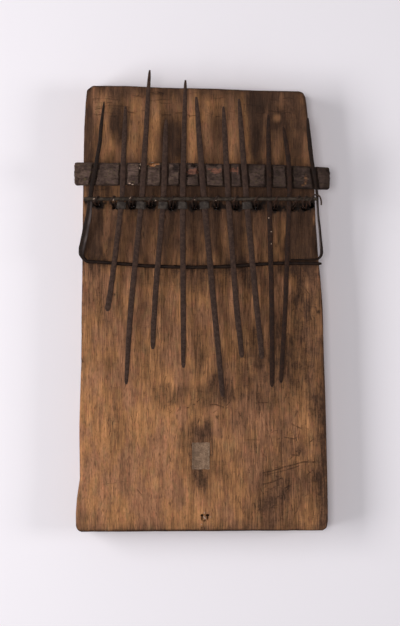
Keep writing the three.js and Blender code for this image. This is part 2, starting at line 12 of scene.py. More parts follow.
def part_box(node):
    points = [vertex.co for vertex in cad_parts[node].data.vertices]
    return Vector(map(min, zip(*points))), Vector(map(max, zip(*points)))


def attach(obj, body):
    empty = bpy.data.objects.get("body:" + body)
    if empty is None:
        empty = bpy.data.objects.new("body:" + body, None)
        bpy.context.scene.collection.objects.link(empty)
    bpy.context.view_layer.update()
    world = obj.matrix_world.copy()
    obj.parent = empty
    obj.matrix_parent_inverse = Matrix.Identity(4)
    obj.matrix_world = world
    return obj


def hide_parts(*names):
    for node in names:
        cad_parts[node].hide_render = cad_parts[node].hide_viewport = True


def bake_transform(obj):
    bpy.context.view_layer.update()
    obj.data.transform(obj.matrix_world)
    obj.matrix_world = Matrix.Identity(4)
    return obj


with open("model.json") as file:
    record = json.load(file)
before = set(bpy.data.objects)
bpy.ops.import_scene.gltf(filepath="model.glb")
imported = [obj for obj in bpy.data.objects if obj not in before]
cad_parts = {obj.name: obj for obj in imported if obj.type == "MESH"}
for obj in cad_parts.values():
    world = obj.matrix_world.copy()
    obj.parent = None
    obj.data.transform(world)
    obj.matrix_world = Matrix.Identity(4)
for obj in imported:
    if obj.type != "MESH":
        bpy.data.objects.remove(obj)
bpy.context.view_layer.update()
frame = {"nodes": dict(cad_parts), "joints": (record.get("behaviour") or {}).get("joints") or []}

MM = 0.001

# The photograph's frame: metres to a pixel at the board's top face, and the pixel over the origin
PHOTO_STEP = 0.517 * MM
PHOTO_ORIGIN = (202, 308.5)
PHOTO_SIZE = (400, 626)

BAR_LOW, BAR_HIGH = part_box("pressure_bar")
BOARD_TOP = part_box("board")[1].z
BAR_RADIUS = (BAR_HIGH.z - BAR_LOW.z) / 2
BAR_Y = (BAR_HIGH.y + BAR_LOW.y) / 2
BAR_Z = (BAR_HIGH.z + BAR_LOW.z) / 2
JOINTS = {joint["name"]: joint for joint in frame["joints"]}
TINES = range(1, 10)
BUZZED_TINES = (1, 2, 3, 4, 5, 7)
DARK_TINES = (8, 9)


def photo_spot(px, py):
    """The place on the board under a pixel of the photograph."""
    return (px - PHOTO_ORIGIN[0]) * PHOTO_STEP, (PHOTO_ORIGIN[1] - py) * PHOTO_STEP


# Noise and shapes on arrays of points


def lumps(points, size, seed):
    """Smooth noise from -1 to 1 with lumps of that size, one number or one for each axis."""
    grid = np.asarray(points, float) / np.asarray(size, float)
    cell = np.floor(grid).astype(np.int64)
    part = grid - cell
    part = part * part * (3 - 2 * part)
    total = np.zeros(len(grid))
    for corner in itertools.product((0, 1), repeat=3):
        at = cell + corner
        mixed = at[:, 0] * 73856093 ^ at[:, 1] * 19349663 ^ at[:, 2] * 83492791 ^ seed * 26544357
        mixed = (mixed ^ mixed >> 13) * 12741261 & 0x7FFFFFFF
        mixed = (mixed ^ mixed >> 11) * 9973 & 0x7FFFFFFF
        value = mixed % 65536 / 32768 - 1
        total += value * np.prod(np.where(corner, part, 1 - part), axis=1)
    return total


def smooth(value, low, high):
    """0 below low, 1 above high, and an S between; the other way round where low is above high."""
    share = np.clip((value - low) / (high - low), 0, 1)
    return share * share * (3 - 2 * share)


def mesh_object(name, points, faces, edges=()):
    mesh = bpy.data.meshes.new(name)
    mesh.from_pydata([tuple(p) for p in points], list(edges), [tuple(f) for f in faces])
    mesh.validate()
    piece = bpy.data.objects.new(name, mesh)
    bpy.context.scene.collection.objects.link(piece)
    return piece


def mesh_points(piece):
    points = np.empty(len(piece.data.vertices) * 3)
    piece.data.vertices.foreach_get("co", points)
    return points.reshape(-1, 3)


def mesh_normals(piece):
    normals = np.empty(len(piece.data.vertices) * 3, np.float32)
    piece.data.vertex_normals.foreach_get("vector", normals)
    return normals.reshape(-1, 3).astype(float)


def set_points(piece, points):
    piece.data.vertices.foreach_set("co", np.asarray(points, np.float32).ravel())
    piece.data.update()


def paint(piece, name, *channels):
    """A colour attribute whose channels are masks worked out at each vertex."""
    values = np.ones((len(piece.data.vertices), 4), np.float32)
    for index, channel in enumerate(channels):
        values[:, index] = np.clip(channel, 0, 1)
    attribute = piece.data.color_attributes.new(name, "FLOAT_COLOR", "POINT")
    attribute.data.foreach_set("color", values.ravel())


def add_attribute(piece, name, kind, field, values):
    attribute = piece.data.attributes.new(name, kind, "POINT")
    attribute.data.foreach_set(field, np.asarray(values, np.float32).ravel())


def unit(vectors):
    """The vectors at a length of 1, apart from those that have next to none."""
    return vectors / np.maximum(np.linalg.norm(vectors, axis=1), 1e-6)[:, None]


def settle(piece):
    """The piece's modifiers become its mesh."""
    made = bpy.data.meshes.new_from_object(piece.evaluated_get(bpy.context.evaluated_depsgraph_get()))
    made.name = piece.name
    piece.modifiers.clear()
    piece.data = made
    return piece


def finish_piece(piece, material, body, slot, *nodes, smooth_angle=None):
    piece.data.materials.clear()
    piece.data.materials.append(material)
    piece.data.polygons.foreach_set("use_smooth", [True] * len(piece.data.polygons))
    if smooth_angle:
        piece.data.set_sharp_from_angle(angle=smooth_angle)
    if body:
        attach(piece, body)
    if nodes:
        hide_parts(*nodes)
    return piece


def cad_arrays(*nodes):
    """The vertices and edges of CAD nodes."""
    points, edges, start = [], [], 0
    for node in nodes:
        mesh = frame["nodes"][node].data
        points.append(mesh_points(frame["nodes"][node]))
        pairs = np.empty(len(mesh.edges) * 2, np.int64)
        mesh.edges.foreach_get("vertices", pairs)
        edges.append(pairs.reshape(-1, 2) + start)
        start += len(mesh.vertices)
    return np.concatenate(points), np.concatenate(edges)


def sections(nodes, axis, stops, y_limit=math.inf):
    """The middles and half sizes of CAD nodes' sections square to an axis, below the y limit if given."""
    points, edges = cad_arrays(*nodes)
    ends = points[edges]
    ends = ends[(ends[:, :, 1] < y_limit).all(axis=1)]
    middles, halves = [], []
    for stop in stops:
        cut = (ends[:, 0, axis] - stop) * (ends[:, 1, axis] - stop) < 0
        start, end = ends[cut, 0], ends[cut, 1]
        share = (stop - start[:, axis]) / (end[:, axis] - start[:, axis])
        met = start + (end - start) * share[:, None]
        middles.append((met.min(axis=0) + met.max(axis=0)) / 2)
        halves.append((met.max(axis=0) - met.min(axis=0)) / 2)
    return np.array(middles), np.array(halves)[:, [1 - axis, 2]]


def fan(nodes, pivot, angles):
    """The same for upright planes that turn about a pivot, each cutting only on its own side of it."""
    points, edges = cad_arrays(*nodes)
    ends = points[edges]
    middles, halves = [], []
    for angle in angles:
        outward = np.array((math.cos(angle), math.sin(angle), 0))
        across = np.array((-math.sin(angle), math.cos(angle), 0))
        off = (ends - (*pivot, 0)) @ across
        cut = off[:, 0] * off[:, 1] < 0
        share = off[cut, 0] / (off[cut, 0] - off[cut, 1])
        met = ends[cut, 0] + (ends[cut, 1] - ends[cut, 0]) * share[:, None]
        reach = (met - (*pivot, 0)) @ outward
        met, reach = met[reach > 0], reach[reach > 0]
        low, high = met[:, 2].min(), met[:, 2].max()
        plan = np.array(pivot) + outward[:2] * (reach.min() + reach.max()) / 2
        middles.append((*plan, (low + high) / 2))
        halves.append(((reach.max() - reach.min()) / 2, (high - low) / 2))
    return np.array(middles), np.array(halves)


def stops_between(start, end, step):
    """Even stops from start to end, both just inside."""
    inset = math.copysign(0.15 * MM, end - start)
    return np.linspace(start + inset, end - inset, max(round(abs(end - start) / step), 2))


# Node trees


def feed(tree, made, inputs):
    """Links a node's inputs that are given as sockets, and sets the others."""
    for key, value in inputs.items():
        if isinstance(value, bpy.types.NodeSocket):
            tree.links.new(value, made.inputs[key])
        else:
            made.inputs[key].default_value = value


def node(tree, kind, inputs=None, **settings):
    """A node with its settings, and its inputs linked or set."""
    made = tree.nodes.new(kind)
    for name, value in settings.items():
        setattr(made, name, value)
    feed(tree, made, inputs or {})
    return made


def calculate(tree, operation, *values, clamp=False):
    inputs = dict(enumerate(values))
    return node(tree, "ShaderNodeMath", inputs, operation=operation, use_clamp=clamp).outputs[0]


def times(tree, first, second):
    return calculate(tree, "MULTIPLY", first, second)


def plus(tree, first, second, clamp=False):
    return calculate(tree, "ADD", first, second, clamp=clamp)


def minus(tree, first, second):
    return calculate(tree, "SUBTRACT", first, second)


def vector_math(tree, operation, *values, output=0, **named):
    inputs = dict(enumerate(values)) | named
    return node(tree, "ShaderNodeVectorMath", inputs, operation=operation).outputs[output]


def map_range(tree, value, low, high, to_low=0.0, to_high=1.0):
    inputs = {0: value, 1: low, 2: high, 3: to_low, 4: to_high}
    return node(tree, "ShaderNodeMapRange", inputs, interpolation_type="SMOOTHSTEP").outputs[0]


def blend_colour(tree, share, first, second, mode="MIX"):
    inputs = {0: share, 6: first, 7: second}
    return node(tree, "ShaderNodeMix", inputs, data_type="RGBA", blend_type=mode).outputs[2]


def shaded(tree, skin, value, low, high, darkest, lightest, share=1.0):
    """The colour made darker and lighter by a value that changes over the surface."""
    return blend_colour(tree, share, skin, map_range(tree, value, low, high, darkest, lightest), "MULTIPLY")


def stretched(tree, vector, sizes):
    """The vector in units of sizes: a texture of scale 1 then has features of that size along each axis."""
    return vector_math(tree, "DIVIDE", vector, sizes)


def shrunk(tree, vector, size):
    """The same for one size that is itself a socket."""
    return vector_math(tree, "SCALE", vector, Scale=calculate(tree, "DIVIDE", 1.0, size))


def noise(tree, vector, sizes=None, scale=1.0, detail=3.0, roughness=0.55, output=0):
    """Noise with features of those sizes along each axis; its output 1 is the coloured one."""
    place = stretched(tree, vector, sizes) if sizes else vector
    inputs = {"Vector": place, "Scale": scale, "Detail": detail, "Roughness": roughness}
    return node(tree, "ShaderNodeTexNoise", inputs).outputs[output]


def colour(red, green, blue):
    return (red, green, blue, 1.0)


def new_tree(name, kind, inputs, outputs):
    """An empty tree with its named sockets: the tree, what it is given, and its end node."""
    tree = bpy.data.node_groups.new(name, kind)
    for way, sockets in (("INPUT", inputs), ("OUTPUT", outputs)):
        for label, socket in sockets.items():
            tree.interface.new_socket(label, in_out=way, socket_type=f"NodeSocket{socket}")
    return tree, tree.nodes.new("NodeGroupInput").outputs, tree.nodes.new("NodeGroupOutput")


def masks_tree(name, inputs, *masks):
    """An empty shader group that puts out masks and heights."""
    return new_tree(name, "ShaderNodeTree", inputs, dict.fromkeys(masks, "Float"))


def effect(tree, shared, **inputs):
    """A shared group placed in a material."""
    return node(tree, "ShaderNodeGroup", inputs, node_tree=shared).outputs


def new_material(name):
    """A material with its Principled shader and its Object coordinates."""
    material = bpy.data.materials.new(name)
    material.use_nodes = True
    tree = material.node_tree
    shader = tree.nodes["Principled BSDF"]
    return material, tree, shader, tree.nodes.new("ShaderNodeTexCoord").outputs["Object"]


def painted_marks(tree):
    """The four channels of the piece's marks attribute."""
    marks = node(tree, "ShaderNodeVertexColor", layer_name="marks").outputs
    return (*node(tree, "ShaderNodeSeparateColor", {0: marks["Color"]}).outputs, marks["Alpha"])


def bump(tree, shader, height, distance, strength=1.0):
    made = node(tree, "ShaderNodeBump", {"Height": height, "Distance": distance, "Strength": strength})
    tree.links.new(made.outputs[0], shader.inputs["Normal"])


# How wide a growth ring is, and by how many rings the noise bends it
RING_WIDTH = 3.4 * MM
RING_WANDER = 2.2


def wood_figure_group():
    """Grain along Y: growth bands, fine fibres, short open pores, and finer checks across the grain."""
    tree, given, result = masks_tree(
        "wood figure",
        {"Vector": "Vector", "Fibre": "Float", "Length": "Float", "Pith": "Vector"},
        "Bands", "Fibres", "Lines", "Pores", "Checks", "Height",
    )
    vector = given["Vector"]
    wander = noise(tree, vector, (30 * MM, 60 * MM, 30 * MM), detail=2, output=1)
    bent = vector_math(tree, "MULTIPLY_ADD", wander, (3 * MM, 0.0, 3 * MM), vector)
    from_pith = vector_math(tree, "SUBTRACT", bent, given["Pith"])
    flat = vector_math(tree, "MULTIPLY", from_pith, (1.0, 0.0, 1.0))
    ring = calculate(tree, "DIVIDE", vector_math(tree, "LENGTH", flat, output="Value"), RING_WIDTH)
    ring_noise = noise(tree, bent, (5 * MM, 120 * MM, 5 * MM), detail=2)
    ring = plus(tree, ring, times(tree, ring_noise, RING_WANDER))
    wave = calculate(tree, "SINE", times(tree, ring, 2 * math.pi))
    bands = calculate(tree, "MULTIPLY_ADD", wave, 0.5, 0.5)

    size = node(tree, "ShaderNodeCombineXYZ", {0: given["Fibre"], 1: given["Length"], 2: given["Fibre"]})
    fine = vector_math(tree, "DIVIDE", bent, size.outputs[0])
    fibres = noise(tree, fine, detail=4, roughness=0.65)
    line_place = vector_math(tree, "MULTIPLY_ADD", fine, (0.9, 0.7, 0.9), (3.1, 8.2, 6.4))
    lines = noise(tree, line_place, detail=3, roughness=0.62)
    pore_place = vector_math(tree, "MULTIPLY_ADD", fine, (1.1, 2.9, 1.1), (7.3, 1.1, 4.7))
    pores = map_range(tree, noise(tree, pore_place, detail=1, roughness=0.4), 0.6, 0.7)
    check_sizes = (2.2 * MM, 0.42 * MM, 2.2 * MM)
    check_place = vector_math(tree, "ADD", stretched(tree, bent, check_sizes), (2, 9, 5))
    checks = map_range(tree, noise(tree, check_place, detail=2), 0.58, 0.72)
    ridges = calculate(tree, "MULTIPLY_ADD", lines, 0.7, times(tree, fibres, 0.5))
    height = minus(tree, ridges, times(tree, pores, 0.5))
    masks = {"Bands": bands, "Fibres": fibres, "Lines": lines, "Pores": pores, "Checks": checks}
    feed(tree, result, masks | {"Height": height})
    return tree


def grime_group():
    """Cloudy dirt in two sizes, as a mask: the clouds, which grow with the amount, and fine specks."""
    inputs = {"Vector": "Vector", "Size": "Float", "Amount": "Float"}
    tree, given, result = masks_tree("grime", inputs, "Mask", "Specks")
    place = shrunk(tree, given["Vector"], given["Size"])
    clouds = noise(tree, place, detail=5, roughness=0.62)
    high = minus(tree, 1.0, times(tree, given["Amount"], 0.7))
    low = minus(tree, high, 0.22)
    specks = noise(tree, place, scale=9.0, detail=2, roughness=0.5)
    masks = {"Mask": map_range(tree, clouds, low, high), "Specks": map_range(tree, specks, 0.66, 0.76)}
    feed(tree, result, masks)
    return tree


def forged_skin_group():
    """Scaly, hammered iron: patches of rust and scale, pits and a bump height."""
    inputs = {"Vector": "Vector", "Size": "Float"}
    tree, given, result = masks_tree("forged skin", inputs, "Patches", "Pits", "Height")
    place = shrunk(tree, given["Vector"], given["Size"])
    patches = noise(tree, place, detail=4, roughness=0.6)
    pits = map_range(tree, noise(tree, place, scale=3.4, detail=2), 0.6, 0.72)
    height = minus(tree, patches, times(tree, pits, 0.5))
    feed(tree, result, {"Patches": patches, "Pits": pits, "Height": height})
    return tree


WOOD_FIGURE = wood_figure_group()
GRIME = grime_group()
FORGED_SKIN = forged_skin_group()

# The specular level of the old surfaces, which have next to no sheen
DULL = 0.08

# The board's wood where it is bare and in its tints, its patina, which also carries the painted shadows, and
# what lies in its pores and breaks
BARE_WOOD = (colour(0.385, 0.178, 0.074), colour(0.305, 0.142, 0.074))
REDDER_WOOD = colour(0.40, 0.155, 0.078)
GREENER_WOOD = colour(0.27, 0.155, 0.07)
PATINA_AND_SHADE = (colour(0.036, 0.0175, 0.0105), colour(0.07, 0.035, 0.0205))
OPEN_PORE = colour(0.05, 0.024, 0.013)
FRESH_WOOD = colour(0.42, 0.2, 0.085)
# Near black, for black marks and for painted shade in holes and shadows
SOOT_AND_SHADE_BLACK = colour(0.009, 0.006, 0.005)


def board_wood():
    """Warm worn wood under a dark brown patina and painted shadows, stained where the marks attribute says.
    """
    material, tree, shader, place = new_material("board wood")
    patina_and_shade, fresh, soot_and_shade, openness = painted_marks(tree)
    figure = effect(tree, WOOD_FIGURE, Vector=place, Fibre=0.5 * MM, Length=11 * MM, Pith=(0.02, 0, -0.07))
    grime = effect(tree, GRIME, Vector=place, Size=5 * MM, Amount=0.5)
    hues = noise(tree, place, (9 * MM, 20 * MM, 9 * MM), detail=4, roughness=0.6)
    tones = noise(tree, place, (3.2 * MM, 20 * MM, 3.2 * MM), detail=5, roughness=0.6)
    mottle = noise(tree, place, (0.9 * MM, 1.7 * MM, 0.9 * MM), detail=3, roughness=0.6)
    tints = noise(tree, place, (2.2 * MM, 7 * MM, 2.2 * MM), detail=3, roughness=0.6, output=1)
    red_tint, green_tint, _ = node(tree, "ShaderNodeSeparateColor", {0: tints}).outputs

    warm = blend_colour(tree, map_range(tree, hues, 0.4, 0.6), *BARE_WOOD)
    for tint, tinted_wood in ((red_tint, REDDER_WOOD), (green_tint, GREENER_WOOD)):
        warm = blend_colour(tree, map_range(tree, tint, 0.5, 0.72, 0.0, 0.6), warm, tinted_wood)
    warm = shaded(tree, warm, tones, 0.34, 0.64, 0.82, 1.14)
    warm = shaded(tree, warm, mottle, 0.32, 0.68, 0.84, 1.12)
    warm = shaded(tree, warm, figure["Bands"], 0.0, 1.0, 0.94, 1.04)
    dark = blend_colour(tree, map_range(tree, tones, 0.36, 0.64), *PATINA_AND_SHADE)

    # The patina and painted shade break up with the dirt, the grain, the mottling and the ticks across the
    # handled top
    broken = times(tree, minus(tree, grime["Mask"], 0.45), 0.16)
    streaks = calculate(tree, "MULTIPLY_ADD", figure["Lines"], 0.5, times(tree, figure["Fibres"], 0.5))
    fibrous = minus(tree, 0.5, streaks)
    mottled = times(tree, minus(tree, mottle, 0.5), 0.8)
    level = node(tree, "ShaderNodeSeparateXYZ", {0: place}).outputs[2]
    handled = map_range(tree, level, BOARD_TOP - 2 * MM, BOARD_TOP - MM, 0.03, 0.22)
    ticks = times(tree, figure["Checks"], handled)
    uneven = plus(tree, plus(tree, broken, fibrous), plus(tree, mottled, ticks))
    broken_up = times(tree, openness, map_range(tree, patina_and_shade, 0.0, 0.35, 0.35, 1.0))
    covered = plus(tree, patina_and_shade, times(tree, uneven, broken_up), clamp=True)

    skin = blend_colour(tree, covered, warm, dark)
    lined = times(tree, openness, map_range(tree, patina_and_shade, 0.05, 0.45, 0.65, 1.0))
    skin = shaded(tree, skin, figure["Fibres"], 0.36, 0.64, 0.86, 1.12, lined)
    skin = shaded(tree, skin, figure["Lines"], 0.34, 0.66, 0.78, 1.18, lined)
    skin = blend_colour(tree, times(tree, figure["Pores"], 0.5), skin, OPEN_PORE)
    skin = blend_colour(tree, fresh, skin, FRESH_WOOD)
    skin = blend_colour(tree, soot_and_shade, skin, SOOT_AND_SHADE_BLACK)
    rough = map_range(tree, figure["Fibres"], 0.3, 0.7, 0.6, 0.76)
    feed(tree, shader, {"Base Color": skin, "Roughness": rough, "Specular IOR Level": DULL})
    bump(tree, shader, figure["Height"], 0.24 * MM, 0.9)
    return material


# The backrest's weathered wood, its tints and pores, and its breaks
WEATHERED_WOOD = (colour(0.084, 0.053, 0.042), colour(0.043, 0.0265, 0.021))
OLIVE_WOOD = colour(0.09, 0.066, 0.034)
PLUM_WOOD = colour(0.078, 0.047, 0.046)
WEATHERED_PORE = colour(0.012, 0.008, 0.006)
LIGHT_BREAK = (colour(0.15, 0.055, 0.024), colour(0.52, 0.24, 0.1))
RED_BREAK = (colour(0.09, 0.038, 0.028), colour(0.22, 0.09, 0.056))
DARK_BREAK = colour(0.012, 0.008, 0.007)


def backrest_wood():
    """Rough weathered wood, its fibres along X, with breaks where the marks attribute says."""
    material, tree, shader, place = new_material("backrest wood")
    red, light, dark, _ = painted_marks(tree)
    turned = node(tree, "ShaderNodeMapping", {"Vector": place, "Rotation": (0, 0, math.pi / 2)}).outputs[0]
    figure = effect(tree, WOOD_FIGURE, Vector=turned, Fibre=0.9 * MM, Length=7 * MM, Pith=(0.02, 0, -0.01))
    grime = effect(tree, GRIME, Vector=place, Size=5 * MM, Amount=0.55)
    mottle = noise(tree, place, (1.6 * MM, 1.1 * MM, 1.1 * MM), detail=4, roughness=0.65)
    tints = noise(tree, place, (1.8 * MM, 1.5 * MM, 1.5 * MM), detail=4, roughness=0.7, output=1)
    olive, plum, _ = node(tree, "ShaderNodeSeparateColor", {0: tints}).outputs
    across = node(tree, "ShaderNodeSeparateXYZ", {0: place}).outputs[0]
    flames = noise(tree, place, (2.6 * MM, 0.6 * MM, 1.2 * MM), detail=3, roughness=0.6)
    flamed = map_range(tree, flames, 0.36, 0.62)

    base = blend_colour(tree, grime["Mask"], *WEATHERED_WOOD)
    base = blend_colour(tree, map_range(tree, olive, 0.52, 0.7, 0.0, 0.7), base, OLIVE_WOOD)
    base = blend_colour(tree, map_range(tree, plum, 0.52, 0.7, 0.0, 0.6), base, PLUM_WOOD)
    base = shaded(tree, base, mottle, 0.3, 0.7, 0.72, 1.28)
    base = shaded(tree, base, figure["Fibres"], 0.34, 0.66, 0.84, 1.12)
    base = blend_colour(tree, times(tree, figure["Pores"], 0.45), base, WEATHERED_PORE)
    base = shaded(tree, base, across, -0.05, 0.066, 1.12, 0.56)
    base = blend_colour(tree, light, base, blend_colour(tree, flamed, *LIGHT_BREAK))
    base = blend_colour(tree, red, base, blend_colour(tree, flamed, *RED_BREAK))
    base = blend_colour(tree, dark, base, DARK_BREAK)
    feed(tree, shader, {"Base Color": base, "Roughness": 0.8, "Specular IOR Level": DULL})
    bump(tree, shader, figure["Height"], 0.35 * MM, 0.9)
    return material


# The sizes of the patches in the irons' skins
COARSE = 1.6 * MM
FINE = MM

# Each iron: its dark skin, its light one and its rust, how rough and how rusty it is, and its patches' size
IRONS = {
    "tine": ((0.024, 0.0125, 0.0088), (0.055, 0.031, 0.0225), (0.062, 0.03, 0.0175), 0.55, 0.3, COARSE),
    "dark tine": (
        (0.012, 0.0056, 0.0036), (0.031, 0.0145, 0.009), (0.036, 0.0155, 0.0085), 0.55, 0.3, COARSE,
    ),
    "bar": ((0.018, 0.0125, 0.009), (0.058, 0.043, 0.032), (0.05, 0.03, 0.018), 0.6, 0.3, COARSE),
    "buzzer": ((0.022, 0.0165, 0.014), (0.06, 0.048, 0.04), (0.04, 0.025, 0.017), 0.62, 0.25, COARSE),
    "wire": ((0.014, 0.008, 0.006), (0.052, 0.033, 0.025), (0.075, 0.03, 0.017), 0.6, 0.5, FINE),
    # The bridge's skins are near black partly as painted shade: the rod's contact shadow is in them
    "bridge": ((0.0065, 0.0032, 0.002), (0.018, 0.0095, 0.0062), (0.019, 0.0082, 0.005), 0.55, 0.3, COARSE),
}
IRON_PIT = colour(0.01, 0.007, 0.006)
# Lighter iron along the arms' inner edges: bare rubbed metal and a painted highlight
RUBBED_AND_HIGHLIT_IRON = colour(0.105, 0.082, 0.078)


def iron(name, highlit_and_rubbed=False):
    """Old iron: a dark skin, lighter at its edges, with rust in patches, and, for the arms, bare where it is
    rubbed and lighter with a painted highlight.
    """
    *skins, roughness, rust_amount, size = IRONS[name]
    dark, light, rust = [colour(*skin) for skin in skins]
    material, tree, shader, place = new_material(f"{name} iron")
    skin = effect(tree, FORGED_SKIN, Vector=place, Size=size)
    grime = effect(tree, GRIME, Vector=place, Size=7 * MM, Amount=rust_amount)
    worn = node(tree, "ShaderNodeNewGeometry").outputs["Pointiness"]
    edges = map_range(tree, worn, 0.52, 0.6)
    base = blend_colour(tree, map_range(tree, skin["Patches"], 0.38, 0.66), dark, light)
    base = blend_colour(tree, times(tree, grime["Mask"], 0.55), base, rust)
    base = blend_colour(tree, times(tree, edges, 0.5), base, light)
    base = blend_colour(tree, times(tree, skin["Pits"], 0.6), base, IRON_PIT)
    if highlit_and_rubbed:
        base = blend_colour(tree, painted_marks(tree)[0], base, RUBBED_AND_HIGHLIT_IRON)
    rough = map_range(tree, skin["Patches"], 0.3, 0.7, roughness - 0.1, roughness + 0.12)
    feed(tree, shader, {"Base Color": base, "Roughness": rough, "Metallic": 0.1, "Specular IOR Level": DULL})
    bump(tree, shader, skin["Height"], 0.12 * MM, 0.8)
    return material


# The label's paper between its fibres and on them, its grime and specks, its rubbed edge and its dirty one
PAPER = (colour(0.15, 0.09, 0.055), colour(0.34, 0.215, 0.14))
PAPER_GRIME = colour(0.115, 0.07, 0.043)
PAPER_SPECK = colour(0.4, 0.29, 0.2)
RUBBED_PAPER = colour(0.42, 0.3, 0.21)
DIRTY_PAPER = colour(0.075, 0.045, 0.029)


def old_paper():
    """Grimy aged paper, darker and rubbed at the edges."""
    material, tree, shader, place = new_material("old paper")
    dirty, rubbed_edge, _, _ = painted_marks(tree)
    fibres = noise(tree, place, (0.7 * MM, 0.9 * MM, 0.7 * MM), detail=4, roughness=0.75)
    grime = effect(tree, GRIME, Vector=place, Size=2.6 * MM, Amount=0.55)
    base = blend_colour(tree, map_range(tree, fibres, 0.3, 0.7), *PAPER)
    base = blend_colour(tree, times(tree, grime["Mask"], 0.6), base, PAPER_GRIME)
    base = blend_colour(tree, grime["Specks"], base, PAPER_SPECK)
    base = blend_colour(tree, rubbed_edge, base, RUBBED_PAPER)
    base = blend_colour(tree, dirty, base, DIRTY_PAPER)
    feed(tree, shader, {"Base Color": base, "Roughness": 0.85, "Specular IOR Level": 0.2})
    bump(tree, shader, fibres, 0.05 * MM, 0.6)
    return material


def pale_wood():
    """The pale torn wood of the flecks."""
    material, tree, shader, place = new_material("pale wood")
    fibres = noise(tree, place, (0.3 * MM, 0.8 * MM, 0.3 * MM))
    base = blend_colour(tree, fibres, colour(0.2, 0.125, 0.085), colour(0.5, 0.35, 0.26))
    feed(tree, shader, {"Base Color": base, "Roughness": 0.75})
    bump(tree, shader, fibres, 0.05 * MM, 0.6)
    return material


# Swept pieces: one tree carries a squared, hammered section along a line


def swept_bar_tree():
    tree, given, result = new_tree("swept bar", "GeometryNodeTree", {
        "Line": "Geometry", "Sides": "Int", "Step": "Float", "Squareness": "Float", "Hammering": "Float",
        "Lump Size": "Float", "Seed": "Float", "Upright": "Bool", "Finish": "Material",
    }, {"Bar": "Geometry"})

    def curve_node(kind, curve, **settings):
        return node(tree, f"GeometryNode{kind}", {"Curve": curve}, **settings).outputs[0]

    def capture(geometry, **fields):
        holder = tree.nodes.new("GeometryNodeCaptureAttribute")
        for label in fields:
            holder.capture_items.new("VECTOR", label)
        feed(tree, holder, {0: geometry} | fields)
        return holder.outputs

    curve = node(tree, "GeometryNodeMeshToCurve", {"Mesh": given["Line"]}).outputs[0]
    curve = curve_node("CurveSplineType", curve, spline_type="CATMULL_ROM")
    steps = {"Curve": curve, "Length": given["Step"]}
    curve = node(tree, "GeometryNodeResampleCurve", steps, mode="LENGTH").outputs[0]
    level = curve_node("SetCurveNormal", curve, mode="Z_UP")
    free = curve_node("SetCurveNormal", curve, mode="MINIMUM_TWIST")
    choice = {"Switch": given["Upright"], "False": free, "True": level}
    curve = node(tree, "GeometryNodeSwitch", choice, input_type="GEOMETRY").outputs[0]
    line = capture(
        curve,
        Centre=node(tree, "GeometryNodeInputPosition").outputs[0],
        Across=node(tree, "GeometryNodeInputNormal").outputs[0],
        Heading=node(tree, "GeometryNodeInputTangent").outputs[0],
    )
    unit_circle = {"Resolution": given["Sides"], "Radius": 1.0}
    circle = node(tree, "GeometryNodeCurvePrimitiveCircle", unit_circle).outputs[0]
    ring = capture(circle, Spoke=node(tree, "GeometryNodeInputPosition").outputs[0])
    sweep = {"Curve": line[0], "Profile Curve": ring[0], "Fill Caps": True}
    tube = node(tree, "GeometryNodeCurveToMesh", sweep).outputs[0]

    # The circle is squared, and each of its spokes stretched to the section's half width and half height
    spoke = node(tree, "ShaderNodeSeparateXYZ", {0: ring["Spoke"]}).outputs
    powers = []
    for axis in (0, 1):
        length = calculate(tree, "ABSOLUTE", spoke[axis])
        powers.append(calculate(tree, "POWER", length, given["Squareness"]))
    inverse = calculate(tree, "DIVIDE", -1.0, given["Squareness"])
    reach = calculate(tree, "POWER", plus(tree, *powers), inverse)
    offsets = []
    for axis, name in enumerate(("half_width", "half_height")):
        half_size = node(tree, "GeometryNodeInputNamedAttribute", {"Name": name}).outputs[0]
        offsets.append(times(tree, times(tree, spoke[axis], reach), half_size))
    upward = vector_math(tree, "CROSS_PRODUCT", line["Heading"], line["Across"])
    sideways = vector_math(tree, "SCALE", line["Across"], Scale=offsets[0])
    lifted = vector_math(tree, "SCALE", upward, Scale=offsets[1])
    outward = vector_math(tree, "ADD", sideways, lifted)
    place = vector_math(tree, "ADD", line["Centre"], outward)

    # Hammer marks push each point in or out
    seed_shift = vector_math(tree, "SCALE", (5.1, 9.7, 3.3), Scale=given["Seed"])
    seeded = vector_math(tree, "ADD", shrunk(tree, place, given["Lump Size"]), seed_shift)
    lump = minus(tree, noise(tree, seeded, detail=2, roughness=0.5), 0.5)
    dent = times(tree, lump, times(tree, given["Hammering"], 3.0))
    dented = vector_math(tree, "SCALE", vector_math(tree, "NORMALIZE", outward), Scale=dent)
    moved = {"Geometry": tube, "Position": vector_math(tree, "ADD", place, dented)}
    shape = node(tree, "GeometryNodeSetPosition", moved).outputs[0]
    shape = node(tree, "GeometryNodeSetShadeSmooth", {"Geometry": shape}).outputs[0]
    shape = node(tree, "GeometryNodeRealizeInstances", {"Geometry": shape}).outputs[0]
    finished = {"Geometry": shape, "Material": given["Finish"]}
    shape = node(tree, "GeometryNodeSetMaterial", finished).outputs[0]
    tree.links.new(shape, result.inputs[0])
    return tree


SWEPT_BAR = swept_bar_tree()


def run_tree(piece, tree, inputs):
    """The tree run on the piece, its inputs set by the identifiers of their sockets, and made its mesh."""
    modifier = piece.modifiers.new(tree.name, "NODES")
    modifier.node_group = tree
    for socket in tree.interface.items_tree:
        if socket.in_out == "INPUT" and socket.name in inputs:
            modifier[socket.identifier] = inputs[socket.name]
    return settle(piece)


